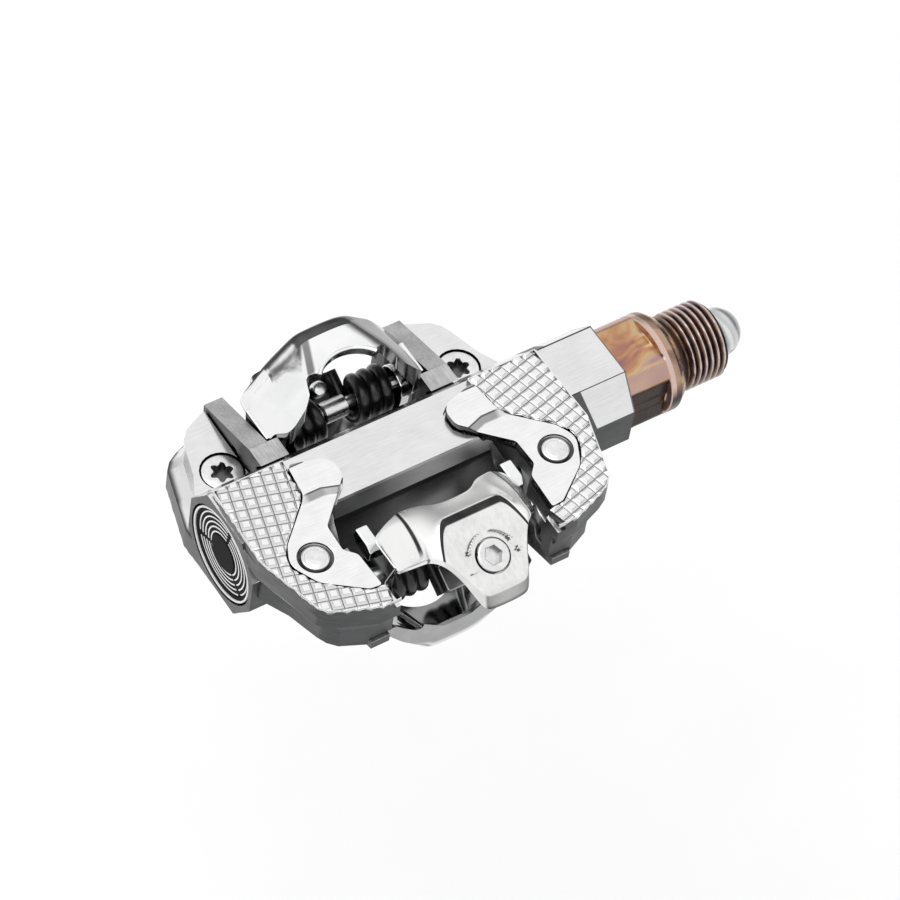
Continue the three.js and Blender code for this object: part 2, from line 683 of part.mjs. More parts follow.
function lockNut() {
  const hexagon = circlePoints(6.4, 0, 0, 6);
  return profileAlongX(hexagon, -28.9, -26.7).subtract(rodX(nutThreadR + gap, -31, -25, 0, 0, 16));
}

// ---- materials ----
function metal(colour, roughness) {
  return new THREE.MeshStandardMaterial({ color: colour, roughness, metalness: 1 });
}

function plastic(colour, roughness) {
  return new THREE.MeshStandardMaterial({ color: colour, roughness, metalness: 0 });
}

function addPart(group, name, solid, material) {
  const mesh = new THREE.Mesh(toGeometry(solid), material);
  mesh.name = name;
  group.add(mesh);
  return mesh;
}

// ---- assembly ----
function addFace(parent, prefix) {
  const face = new THREE.Group();
  if (prefix === 'lower') face.rotation.x = Math.PI;
  parent.add(face);
  const chrome = () => metal(0xd9dadc, 0.14);
  addPart(face, `${prefix}_claw`, sprungClaw(), metal(0xd2d2d2, 0.26));
  addPart(face, `${prefix}_hook`, fixedHook(), chrome());
  addPart(face, `${prefix}_pivot_pin`, pivotPin(), chrome());
  addPart(face, `${prefix}_pin_spacer`, spacerTube(), metal(0xc4c2bf, 0.35));
  [['right', 1], ['left', -1]].forEach(([hand, side]) => {
    addPart(face, `${prefix}_${hand}_wear_plate`, wearPlate(side), metal(0xe8e8e8, 0.2));
    addPart(face, `${prefix}_${hand}_wing_screw`, wingScrew(side), metal(0xdcdcdc, 0.28));
    addPart(face, `${prefix}_${hand}_side_carrier`, carrier(side), metal(0xa3a3a3, 0.42));
    addPart(face, `${prefix}_${hand}_claw_spring`, clawSpring(side), metal(0x141416, 0.38));
  });
  const tension = new THREE.Group();
  tension.position.set(0, headY, headZ);
  tension.rotation.x = clawSlope;
  face.add(tension);
  addPart(tension, `${prefix}_tension_screw`, tensionScrew(), metal(0xcfcfcf, 0.24));
  addPart(tension, `${prefix}_tension_nut`, tensionNut(), metal(0x8c8c8e, 0.45));
}

function addAxisParts(parent) {
  const bearingSteel = () => metal(0xb4b6ba, 0.25);
  addPart(parent, 'spindle', spindle(), metal(0xb08a5c, 0.34));
  addPart(parent, 'antenna_dome', antennaDome(), plastic(0xb6b9bb, 0.22));
  addPart(parent, 'battery_cell', batteryCell(), plastic(0x2d5fa0, 0.5));
  addPart(parent, 'sensor_board', sensorBoard(), plastic(0x1f5b35, 0.55));
  addPart(parent, 'lock_nut', lockNut(), bearingSteel());
  addPart(parent, 'outboard_ball_bearing', ring(bearingInnerR, bearingOuterR, -26.0, -22.0, 20), bearingSteel());
  addPart(parent, 'needle_bearing', ring(bearingInnerR, bearingOuterR, -20.0, -8.0, 20), bearingSteel());
  addPart(parent, 'inboard_bush', ring(6.8, bearingOuterR, 25.0, 37.5, 24), metal(0xb18b4e, 0.4));
  addPart(parent, 'spindle_seal', ring(7.8, 8.3, 40.2, 43.2, 24), plastic(0x161616, 0.7));
  addPart(parent, 'outboard_cap', outboardCap(), plastic(0x2c2d2f, 0.4));
  addPart(parent, 'cap_seal_ring', capSeal(), plastic(0x111111, 0.75));
}

function buildPedal() {
  const pedal = new THREE.Group();
  pedal.name = 'clipless_pedal';
  const placed = new THREE.Group();
  placed.position.x = -originX;
  pedal.add(placed);
  addPart(placed, 'pedal_body', pedalBody(), metal(0xd6d7d9, 0.22));
  addAxisParts(placed);
  addFace(placed, 'upper');
  addFace(placed, 'lower');
  return pedal;
}

export default buildPedal();
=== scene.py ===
import math

import bmesh
import bpy
import numpy as np
from mathutils import Matrix, Vector


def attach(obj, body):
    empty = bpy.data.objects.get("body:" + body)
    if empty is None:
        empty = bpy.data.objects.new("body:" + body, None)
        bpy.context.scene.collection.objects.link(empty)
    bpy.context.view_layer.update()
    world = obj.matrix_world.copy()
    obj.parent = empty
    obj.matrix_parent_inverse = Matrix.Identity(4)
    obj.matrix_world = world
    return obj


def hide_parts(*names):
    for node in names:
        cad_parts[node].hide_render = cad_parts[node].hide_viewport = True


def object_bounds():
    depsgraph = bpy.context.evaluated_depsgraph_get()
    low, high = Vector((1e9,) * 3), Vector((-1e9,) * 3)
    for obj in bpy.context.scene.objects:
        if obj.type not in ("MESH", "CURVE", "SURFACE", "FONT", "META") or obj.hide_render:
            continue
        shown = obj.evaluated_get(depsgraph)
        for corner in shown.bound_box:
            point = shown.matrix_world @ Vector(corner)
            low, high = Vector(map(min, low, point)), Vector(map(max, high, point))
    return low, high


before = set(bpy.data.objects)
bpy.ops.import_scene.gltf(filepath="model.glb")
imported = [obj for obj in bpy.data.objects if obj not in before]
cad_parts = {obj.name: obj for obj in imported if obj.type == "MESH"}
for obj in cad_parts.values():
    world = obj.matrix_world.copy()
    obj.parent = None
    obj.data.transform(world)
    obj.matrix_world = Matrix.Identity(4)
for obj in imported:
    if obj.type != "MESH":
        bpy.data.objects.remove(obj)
cad_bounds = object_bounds()

MM = 0.001
SHIFT_X = -19.95        # where the claws' middle plane, x = 0 in the row frame, stands in the object's frame
TAU = 2 * math.pi

# driving sizes in the row frame: millimetres, with x = 0 in the claws' middle plane on the spindle axis
OUTBOARD_X = -32.4
WING_SCREW = (23.6, -14.2)
PAD_Z = 11.4
VALLEY_Z = 10.98
PLATE_BASE_Z = 9.6
PLATE_TOP_Z = 11.1
PLATE_RAISED_Z = 11.8
PIVOT_Y = -17.0
CLAW_SLOPE = math.radians(28)
HEAD_Y, HEAD_Z = -30.6, 16.6
THREAD_R = 7.14
THREAD_PITCH = 1.27
THREAD_DEPTH = 0.72
THREAD_START, THREAD_END = 57.4, 66.2
STEP_Y, STEP_BEND_X, STEP_SLANT = -2.95, 15.8, 0.33     # the edge of a wear plate's raised tab
STEP_RUN = 1.5
LIGHT_BUMP = 0.00004
DEEP_BUMP = 0.00005


def row_x(place):
    """Metres along X for a place in the row frame."""
    return (place + SHIFT_X) * MM


# ---- mesh helpers; a shape is (points in millimetres, faces) ----
def joined(*parts):
    points, faces = [], []
    for more_points, more_faces in parts:
        base = len(points)
        points += list(more_points)
        faces += [tuple(base + i for i in face) for face in more_faces]
    return points, faces


def ring_stack(rings, low_cap=True, high_cap=True):
    count = len(rings[0])
    points = [p for ring in rings for p in ring]
    faces = []
    for i in range(len(rings) - 1):
        for j in range(count):
            a, b = i * count + j, i * count + (j + 1) % count
            faces.append((a, b, b + count, a + count))
    if low_cap:
        faces.append(tuple(reversed(range(count))))
    if high_cap:
        faces.append(tuple(range(len(points) - count, len(points))))
    return points, faces


def circle(radius, sides, start=0.0, end=TAU):
    closed = end - start >= TAU - 1e-6
    steps = sides if closed else sides + 1
    return [(radius * math.cos(start + (end - start) * i / sides),
             radius * math.sin(start + (end - start) * i / sides)) for i in range(steps)]


def round_ring(radius, sides):
    """Points about an axis; radius is a number or a function of the angle."""
    ring = []
    for i in range(sides):
        angle = TAU * i / sides
        r = radius(angle) if callable(radius) else radius
        ring.append((r * math.cos(angle), r * math.sin(angle)))
    return ring


def round_x(stations, sides=72, y=0.0, z=0.0, caps=(True, True)):
    """Rings about an axis along X; a station is (x, radius)."""
    rings = [[(x, y + a, z + b) for a, b in round_ring(radius, sides)] for x, radius in stations]
    return ring_stack(rings, *caps)


def closed_round_x(profile, sides=72, y=0.0, z=0.0):
    """A ring with a closed section of (x, radius) points."""
    return round_x(list(profile) + [profile[0]], sides, y, z, (False, False))


def round_z(stations, sides=72, x=0.0, y=0.0):
    """Rings about an axis along Z; a station is (z, radius)."""
    rings = [[(x + a, y + b, z) for a, b in round_ring(radius, sides)] for z, radius in stations]
    return ring_stack(rings)


def prism(outline, low, high):
    return ring_stack([[(x, y, low) for x, y in outline], [(x, y, high) for x, y in outline]])


def prism_x(outline, low, high):
    return ring_stack([[(low, y, z) for y, z in outline], [(high, y, z) for y, z in outline]])


def tube(path, radius, sides=12):
    """A round wire along a list of points, with no twist."""
    line = [Vector(p) for p in path]
    rings = []
    normal = None
    for i, here in enumerate(line):
        ahead = (line[min(i + 1, len(line) - 1)] - line[max(i - 1, 0)]).normalized()
        if normal is None:
            normal = ahead.orthogonal().normalized()
        normal = (normal - ahead * normal.dot(ahead)).normalized()
        other = ahead.cross(normal)
        rings.append([tuple(here + radius * (normal * c + other * s)) for c, s in circle(1, sides)])
    return ring_stack(rings)


def filleted(outline, radius, steps=5):
    """The outline with each corner rounded; radius is one number or one per corner."""
    count = len(outline)
    result = []
    for i, corner in enumerate(outline):
        r = radius[i] if isinstance(radius, (list, tuple)) else radius
        p, a, b = Vector(corner), Vector(outline[i - 1]), Vector(outline[(i + 1) % count])
        u, v = (a - p), (b - p)
        turn = math.pi - u.angle(v, 0.0)
        if r <= 0 or turn < 0.05:
            result.append(tuple(p))
            continue
        reach = min(r * math.tan(turn / 2), 0.48 * u.length, 0.48 * v.length)
        start, end = p + u.normalized() * reach, p + v.normalized() * reach
        for k in range(steps + 1):
            t = k / steps
            result.append(tuple(start * (1 - t) ** 2 + p * 2 * t * (1 - t) + end * t * t))
    return result


def mirrored(points_faces, side):
    if side > 0:
        return points_faces
    points, faces = points_faces
    return [(-x, y, z) for x, y, z in points], [tuple(reversed(face)) for face in faces]


def side_outline(outline, side):
    return outline if side > 0 else [(-x, y) for x, y in reversed(outline)]


def moved(points_faces, matrix):
    points, faces = points_faces
    return [tuple(matrix @ Vector(p)) for p in points], faces


def mesh_of(points_faces, lower=False, name="work"):
    points, faces = points_faces
    mesh = bpy.data.meshes.new(name)
    flip = -1 if lower else 1
    mesh.from_pydata([((x + SHIFT_X) * MM, flip * y * MM, flip * z * MM) for x, y, z in points], [], faces)
    work = bmesh.new()
    work.from_mesh(mesh)
    bmesh.ops.remove_doubles(work, verts=work.verts, dist=1e-7)
    bmesh.ops.dissolve_degenerate(work, edges=work.edges, dist=1e-7)
    bmesh.ops.recalc_face_normals(work, faces=work.faces)
    work.to_mesh(mesh)
    work.free()
    return mesh


def new_object(name, mesh):
    thing = bpy.data.objects.new(name, mesh)
    bpy.context.scene.collection.objects.link(thing)
    return thing


def applied(thing):
    """The object's mesh with its modifiers built in."""
    bpy.context.view_layer.update()
    graph = bpy.context.evaluated_depsgraph_get()
    mesh = bpy.data.meshes.new_from_object(thing.evaluated_get(graph))
    thing.modifiers.clear()
    old = thing.data
    thing.data = mesh
    bpy.data.meshes.remove(old)
    return thing


def combine(thing, parts, operation, lower=False):
    """Adds or cuts solids one after another."""
    for part in parts:
        tool = new_object("tool", mesh_of(part, lower))
        step = thing.modifiers.new("step", "BOOLEAN")
        step.operation = operation
        step.solver = "EXACT"
        step.object = tool
        applied(thing)
        bpy.data.objects.remove(tool)
    return thing


def soften(thing, width, segments=2, angle=30, weld=False):
    """Small rounded edges with clean flat faces between them."""
    if weld:
        thing.modifiers.new("weld", "WELD").merge_threshold = 1e-6
    if width:
        edge = thing.modifiers.new("edges", "BEVEL")
        edge.width = width * MM
        edge.segments = segments
        edge.limit_method = "ANGLE"
        edge.angle_limit = math.radians(angle)
        edge.use_clamp_overlap = True
        edge.miter_outer = "MITER_ARC"
    shade = thing.modifiers.new("shading", "WEIGHTED_NORMAL")
    shade.keep_sharp = True
    shade.weight = 90


def finish_piece(thing, body, slot, material, replaces=(), bevel=0.0, segments=2, angle=30):
    for polygon in thing.data.polygons:
        polygon.use_smooth = True
    thing.data.set_sharp_from_angle(angle=math.radians(angle))
    if bevel:
        if "sharp_edge" in thing.data.attributes:
            thing.data.attributes.remove(thing.data.attributes["sharp_edge"])
        soften(thing, bevel, segments, angle)
    thing.data.materials.clear()
    thing.data.materials.append(material)
    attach(thing, body)
    if replaces:
        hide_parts(*replaces)
    return thing


def add_piece(name, points_faces, body, slot, material, replaces=(), lower=False, **look):
    thing = new_object(name, mesh_of(points_faces, lower, name))
    return finish_piece(thing, body, slot, material, replaces, **look)


def dress_cad(node, material, bevel, segments=2, angle=30):
    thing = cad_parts[node]
    for polygon in thing.data.polygons:
        polygon.use_smooth = True
    soften(thing, bevel, segments, angle, weld=True)
    for place in thing.material_slots:
        place.material = material


# ---- materials ----
def fill_ramp(band, stops):
    """Sets the two end stops, then adds the ones between them."""
    for element, (place, colour) in ((band.elements[0], stops[0]), (band.elements[1], stops[-1])):
        element.position = place
        element.color = (*colour, 1)
    for place, colour in stops[1:-1]:
        band.elements.new(place).color = (*colour, 1)


class Paint:
    """A principled material with short ways to add procedural nodes."""

    def __init__(self, name, **sockets):
        self.material = bpy.data.materials.new(name)
        self.material.use_nodes = True
        self.tree = self.material.node_tree
        self.shader = self.tree.nodes["Principled BSDF"]
        self.spot = self.node("ShaderNodeTexCoord").outputs["Object"]
        for socket, value in sockets.items():
            self.shader.inputs[socket.replace("_", " ")].default_value = value

    def node(self, kind, **settings):
        made = self.tree.nodes.new(kind)
        for key, value in settings.items():
            setattr(made, key, value)
        return made

    def link(self, source, target):
        self.tree.links.new(source, target)

    def stretched(self, scale, turn=(0, 0, 0)):
        mapping = self.node("ShaderNodeMapping")
        mapping.inputs["Scale"].default_value = scale
        mapping.inputs["Rotation"].default_value = turn
        self.link(self.spot, mapping.inputs["Vector"])
        return mapping.outputs["Vector"]

    def noise(self, scale, detail=4.0, where=None, roughness=0.55, distortion=0.0):
        made = self.node("ShaderNodeTexNoise")
        made.inputs["Scale"].default_value = scale
        made.inputs["Detail"].default_value = detail
        made.inputs["Roughness"].default_value = roughness
        made.inputs["Distortion"].default_value = distortion
        self.link(where or self.spot, made.inputs["Vector"])
        return made.outputs["Fac"]

    def span(self, value, low, high, to_low, to_high, smooth=False):
        made = self.node("ShaderNodeMapRange")
        made.interpolation_type = "SMOOTHSTEP" if smooth else "LINEAR"
        made.inputs["From Min"].default_value = low
        made.inputs["From Max"].default_value = high
        made.inputs["To Min"].default_value = to_low
        made.inputs["To Max"].default_value = to_high
        self.link(value, made.inputs["Value"])
        return made.outputs["Result"]

    def math(self, operation, a, b=None, c=None):
        made = self.node("ShaderNodeMath", operation=operation)
        for socket, value in zip(made.inputs, (a, b, c)):
            if value is None:
                continue
            if isinstance(value, (int, float)):
                socket.default_value = value
            else:
                self.link(value, socket)
        return made.outputs["Value"]

    def minus(self, a, b):
        return self.math("SUBTRACT", a, b)

    def size(self, value):
        return self.math("ABSOLUTE", value)

    def above(self, value, limit):
        return self.math("GREATER_THAN", value, limit)

    def below(self, value, limit):
        return self.math("LESS_THAN", value, limit)

    def times(self, result, *others):
        for other in others:
            result = self.math("MULTIPLY", result, other)
        return result

    def most(self, result, *others):
        for other in others:
            result = self.math("MAXIMUM", result, other)
        return result

    def rise(self, value, low, high, top=1):
        return self.span(value, low, high, 0, top, True)

    def fall(self, value, low, high, top=1):
        return self.span(value, low, high, top, 0, True)

    def between(self, noise, low, high):
        """A number that follows a noise, which keeps to the middle of its range."""
        return self.span(noise, 0.3, 0.7, low, high)

    def two_tones(self, noise, dark, light):
        return self.ramp(noise, [(0.3, dark), (0.7, light)])

    def grained(self, lines, cloud, dark, light, share=0.55, high=0.62):
        """Two tones chosen by fine lines and a slow cloud together."""
        both = self.math("MULTIPLY_ADD", lines, share, self.times(cloud, 1 - share))
        return self.ramp(both, [(0.3, dark), (high, light)])

    def ramp(self, value, stops):
        made = self.node("ShaderNodeValToRGB")
        fill_ramp(made.color_ramp, stops)
        self.link(value, made.inputs["Fac"])
        return made.outputs["Color"]

    def mix(self, factor, a, b, blend="MIX"):
        made = self.node("ShaderNodeMix", data_type="RGBA", blend_type=blend)
        for socket, value in ((made.inputs[0], factor), (made.inputs[6], a), (made.inputs[7], b)):
            if isinstance(value, tuple):
                socket.default_value = (*value, 1)
            elif isinstance(value, (int, float)):
                socket.default_value = value
            else:
                self.link(value, socket)
        return made.outputs[2]

    def axes(self):
        made = self.node("ShaderNodeSeparateXYZ")
        self.link(self.spot, made.inputs["Vector"])
        return made.outputs["X"], made.outputs["Y"], made.outputs["Z"]

    def facing(self):
        """The surface's own direction: X, and Y and Z as the upper face has them on either face."""
        _, _, height = self.axes()
        self.face = self.minus(self.times(self.above(height, 0.0), 2.0), 1.0)
        split = self.node("ShaderNodeSeparateXYZ")
        self.link(self.node("ShaderNodeTexCoord").outputs["Normal"], split.inputs["Vector"])
        right, self.true_y, self.true_z = (split.outputs[axis] for axis in "XYZ")
        return right, self.times(self.true_y, self.face), self.times(self.true_z, self.face)

    def places_mm(self):
        """Millimetres out from the claws' middle plane, and minus the millimetres from the spindle's."""
        x, y, _ = self.axes()
        side = self.size(self.minus(x, row_x(0)))
        return self.times(side, 1000.0), self.times(self.size(y), -1000.0)

    def bump(self, height, strength, distance, after=None):
        made = self.node("ShaderNodeBump")
        made.inputs["Strength"].default_value = strength
        made.inputs["Distance"].default_value = distance
        self.link(height, made.inputs["Height"])
        if after is not None:
            self.link(after, made.inputs["Normal"])
        return made.outputs["Normal"]

    def wire(self, **targets):
        for socket, source in targets.items():
            self.link(source, self.shader.inputs[socket.replace("_", " ")])
        return self.material


def plain_metal(name, light, dark, rough_low, rough_high, grain=(900, 900, 60), grain_depth=0.12,
                wall_shade=0.16, wall_low=0.16, wall_high=0.42):
    """A metal with grain and cloudy wear. Upright walls get painted shade, darker than what lies flat."""
    paint = Paint(name, Metallic=1.0)
    lines = paint.noise(1.0, 5, paint.stretched(grain))
    cloud = paint.noise(260, 3)
    tone = paint.grained(lines, cloud, dark, light)
    _, _, up = paint.facing()
    # Painted shade: upright walls are darkened by a fixed factor.
    wall_shaded = paint.mix(1.0, tone, (wall_shade, wall_shade, wall_shade), "MULTIPLY")
    tone = paint.mix(paint.fall(up, wall_low, wall_high), tone, wall_shaded)
    return paint.wire(Base_Color=tone, Roughness=paint.between(cloud, rough_low, rough_high),
                      Normal=paint.bump(lines, grain_depth, DEEP_BUMP))


def claw_metal():
    """Satin plate with a painted dark line of shade along the fold between its brow and its flat, a painted
    highlight on the brow and painted shade on upright walls.
    """
    paint = Paint("claw_nickel", Metallic=1.0)
    right, _, up = paint.facing()
    side_mm, rear_mm = paint.places_mm()
    lines = paint.noise(1.0, 5, paint.stretched((1500, 260, 1500)))
    cloud = paint.noise(240, 3)
    tone = paint.grained(lines, cloud, (0.72, 0.72, 0.715), (0.86, 0.86, 0.85))
    fold_rear, bend_start, bend_power, bend_rate = -23.05, 5.0, 1.9, -0.6
    past_bend = paint.math("POWER", paint.most(paint.minus(side_mm, bend_start), 0.0), bend_power)
    past_fold = paint.minus(rear_mm, paint.math("MULTIPLY_ADD", past_bend, bend_rate, fold_rear))
    # Painted highlight: the brow in front of the fold is made lighter.
    tone = paint.mix(paint.rise(past_fold, -0.3, 0.3, 0.8), tone, (0.97, 0.97, 0.965))
    # Painted shade: dark lines along the fold and along the side crease.
    fold = paint.times(paint.fall(paint.size(past_fold), 0.5, 0.8), paint.fall(side_mm, 8.2, 9.0))
    from_crease = paint.size(paint.minus(side_mm, paint.math("MULTIPLY_ADD", rear_mm, -0.11, 7.55)))
    crease = paint.times(paint.fall(from_crease, 0.12, 0.36), paint.span(rear_mm, -25.5, -24.8, 0, 1))
    shaded_lines = paint.times(paint.most(fold, crease), paint.span(up, 0.3, 0.5, 0, 1))
    # Painted shade on upright walls, lighter on those facing -X.
    wall_shade = paint.times(paint.fall(up, 0.2, 0.42), paint.span(right, -0.6, -0.3, 0.15, 1, True))
    # The dark tone used for the painted shade.
    shade_tone = paint.two_tones(cloud, (0.02, 0.02, 0.021), (0.06, 0.06, 0.061))
    tone = paint.mix(paint.most(wall_shade, shaded_lines), tone, shade_tone)
    return paint.wire(Base_Color=tone, Roughness=paint.between(cloud, 0.17, 0.27),
                      Normal=paint.bump(lines, 0.06, DEEP_BUMP))


def hook_chrome(name, rim_shade):
    """Mirror chrome with painted dark reflection on the rolled far rim, on the slope that faces the crank,
    along the fold and underneath.
    """
    paint = Paint(name, Metallic=1.0)
    right, far, up = paint.facing()
    cloud = paint.noise(170, 3, None, 0.5, 0.6)
    tone = paint.ramp(cloud, [(0.3, (0.86, 0.865, 0.87)), (0.65, (0.95, 0.95, 0.95))])
    wobble = paint.between(cloud, -0.05, 0.05)
    # Painted reflection: the rolled far rim, the slope facing the crank, the fold and the underside are
    # darkened by their direction.
    rim = paint.rise(paint.math("ADD", far, wobble), 0.18, 0.27, rim_shade)
    slope = paint.rise(paint.math("ADD", right, wobble), 0.12, 0.4, 0.85)
    fold = paint.times(paint.rise(right, -0.52, -0.42, 0.8), paint.fall(right, -0.2, -0.08))
    under = paint.fall(up, -0.05, 0.25, 0.75)
    # The dark tone used for the painted reflection.
    shade_tone = paint.two_tones(cloud, (0.045, 0.045, 0.047), (0.12, 0.12, 0.122))
    tone = paint.mix(paint.most(rim, slope, fold, under), tone, shade_tone)
    return paint.wire(Base_Color=tone, Roughness=paint.between(cloud, 0.05, 0.13),
                      Normal=paint.bump(paint.noise(320, 3), 0.05, 0.00006))


def body_metal():
    """Polished tops, milled walls painted dark as shade, painted dark lines of shade along edges, and fine
    scratches. Places are in metres.
    """
    paint = Paint("body_aluminium", Metallic=1.0)
    x, y, z = paint.axes()
    right, _, up = paint.facing()
    depth, from_axis = paint.size(z), paint.times(y, paint.face)
    off_middle = paint.size(paint.minus(x, row_x(0)))
    mill = paint.noise(1.0, 5, paint.stretched((260, 260, 3200)))
    brush = paint.noise(1.0, 4, paint.stretched((220, 5200, 5200)))
    cloud = paint.noise(150, 4)
    bright = paint.grained(brush, cloud, (0.70, 0.70, 0.705), (0.84, 0.84, 0.84), 0.5, 0.65)
    # Painted shade: a dark tone for upright walls, and a mid tone for faces that look along -X.
    wall_shade = paint.two_tones(mill, (0.068, 0.069, 0.071), (0.092, 0.093, 0.095))
    end_face = paint.two_tones(mill, (0.10, 0.10, 0.103), (0.17, 0.17, 0.173))

    # Painted shade in the barrel's hollow and in the crescent at the neck, and painted dark lines along the
    # far edge, the crank edge and round the plate beds.
    clouded_x = paint.math("ADD", x, paint.times(paint.noise(120, 3), 0.012))
    hollow = paint.times(paint.span(from_axis, -0.0058, -0.0054, 1, 0), paint.below(off_middle, 0.0154),
                         paint.below(depth, 0.01012), paint.span(clouded_x, -0.030, -0.004, 0.95, 0.55, True))
    slanted = paint.math("MULTIPLY_ADD", depth, 0.25, x)
    neck = paint.times(paint.fall(slanted, row_x(36.85), row_x(37.05)),
                       paint.span(x, row_x(31.9), row_x(32.1), 0, 0.95), paint.span(up, 0.72, 0.85, 1, 0))
    neck_edge = paint.times(paint.math("COMPARE", depth, 0.01010, 0.00008),
                            paint.span(x, row_x(32.0), row_x(32.2), 0.5, 1))
    far_edge = paint.times(paint.above(from_axis, 0.00518), paint.above(x, row_x(32.6)),
                           paint.above(depth, 0.0100))
    crank_edge = paint.times(paint.math("COMPARE", x, row_x(43.60), 0.00014), 0.85)
    plate_bed = paint.times(paint.below(depth, 0.0100), paint.above(depth, 0.0091),
                            paint.above(off_middle, 0.0162), paint.below(x, row_x(32.0)))
    dark = paint.most(paint.fall(up, 0.12, 0.34), hollow, neck, neck_edge, far_edge, crank_edge, plate_bed)
    # Painted light: walls facing -X and +Y on the lower half are kept light.
    lit_wall = paint.times(paint.fall(right, -0.5, -0.3), paint.rise(paint.true_y, 0.05, 0.15),
                           paint.rise(z, -0.0065, -0.0055))
    dark = paint.times(dark, paint.minus(1.0, lit_wall))

    colour = paint.mix(dark, bright, wall_shade)
    colour = paint.mix(paint.fall(right, -0.97, -0.9), colour, end_face)
    rough = paint.math("MULTIPLY_ADD", dark, 0.24, paint.between(cloud, 0.14, 0.26))
    scratches = paint.bump(brush, 0.10, LIGHT_BUMP)
    return paint.wire(Base_Color=colour, Roughness=rough,
                      Normal=paint.bump(mill, 0.025, LIGHT_BUMP, scratches))


def plate_metal():
    """Polished plate with painted shade on its bevels and a painted band of shade where the raised tab steps
    down.
    """
    paint = Paint("polished_plate", Metallic=1.0)
    right, _, up = paint.facing()
    side_mm, rear_mm = paint.places_mm()
    lines = paint.noise(1.0, 5, paint.stretched((240, 4200, 4200)))
    cloud = paint.noise(260, 3)
    tone = paint.grained(lines, cloud, (0.82, 0.82, 0.825), (0.93, 0.93, 0.93))
    # Painted shade: a band along the edge where the raised tab steps down.
    inset = paint.most(paint.minus(STEP_BEND_X, side_mm), 0.0)
    step = paint.minus(rear_mm, paint.math("MULTIPLY_ADD", inset, -STEP_SLANT, STEP_Y))
    sharp = paint.times(paint.span(step, -0.28, -0.16, 0, 1), paint.span(step, 0.06, 0.16, 1, 0), 0.95)
    soft = paint.times(paint.rise(step, -1.5, -1.1, 0.62), paint.span(step, 0.0, 0.1, 1, 0))
    near_step = paint.times(paint.most(sharp, soft), paint.span(side_mm, 18.2, 19.4, 1, 0.3, True))
    # Painted shade on the bevels, except where the screw hole's wall is left lit.
    out_mm, back_mm = paint.minus(side_mm, WING_SCREW[0]), paint.minus(rear_mm, WING_SCREW[1])
    squares = paint.math("MULTIPLY_ADD", out_mm, out_mm, paint.times(back_mm, back_mm))
    screw_hole = paint.below(paint.math("SQRT", squares), 3.35)
    lit = paint.times(screw_hole, paint.span(right, -0.6, 0.1, 0.8, 0, True))
    bevel = paint.times(paint.fall(up, 0.5, 0.95), paint.minus(1.0, lit))
    # The dark tone used for the painted shade.
    shade_tone = paint.two_tones(cloud, (0.045, 0.045, 0.046), (0.09, 0.09, 0.091))
    tone = paint.mix(paint.most(bevel, near_step), tone, shade_tone)
    return paint.wire(Base_Color=tone, Roughness=paint.between(cloud, 0.14, 0.22),
                      Normal=paint.bump(lines, 0.04, DEEP_BUMP))


def knurl_metal():
    """Light pyramids with painted shade in the valleys, a painted dark line round each flat top and painted
    shade on upright walls.
    """
    paint = Paint("knurl_aluminium", Metallic=1.0)
    _, _, z = paint.axes()
    _, _, up = paint.facing()
    cloud = paint.noise(700, 4)
    # Painted shade: the tone follows height, dark in the valleys and in a line just below the flat tops.
    height = paint.span(paint.size(z), VALLEY_Z * MM, (PAD_Z - 0.02) * MM, 0, 1)
    tone = paint.ramp(height, [(0.0, (0.07, 0.07, 0.072)), (0.13, (0.36, 0.36, 0.365)),
                               (0.25, (0.74, 0.74, 0.74)), (0.78, (0.76, 0.76, 0.76)),
                               (0.88, (0.34, 0.34, 0.345)), (0.97, (0.86, 0.86, 0.86))])
    # Painted shade on upright walls.
    tone = paint.mix(paint.fall(up, 0.25, 0.5), tone, (0.045, 0.045, 0.046))
    return paint.wire(Base_Color=tone, Roughness=paint.between(cloud, 0.22, 0.38),
                      Normal=paint.bump(cloud, 0.15, LIGHT_BUMP))


def black_spring():
    paint = Paint("black_spring", Metallic=0.0, Specular_IOR_Level=0.35, Coat_Weight=0.25,
                  Coat_Roughness=0.06)
    cloud = paint.noise(900, 5)
    tone = paint.ramp(cloud, [(0.35, (0.003, 0.003, 0.004)), (0.7, (0.012, 0.012, 0.013))])
    return paint.wire(Base_Color=tone, Roughness=paint.between(cloud, 0.24, 0.42),
                      Normal=paint.bump(cloud, 0.1, 0.00003))


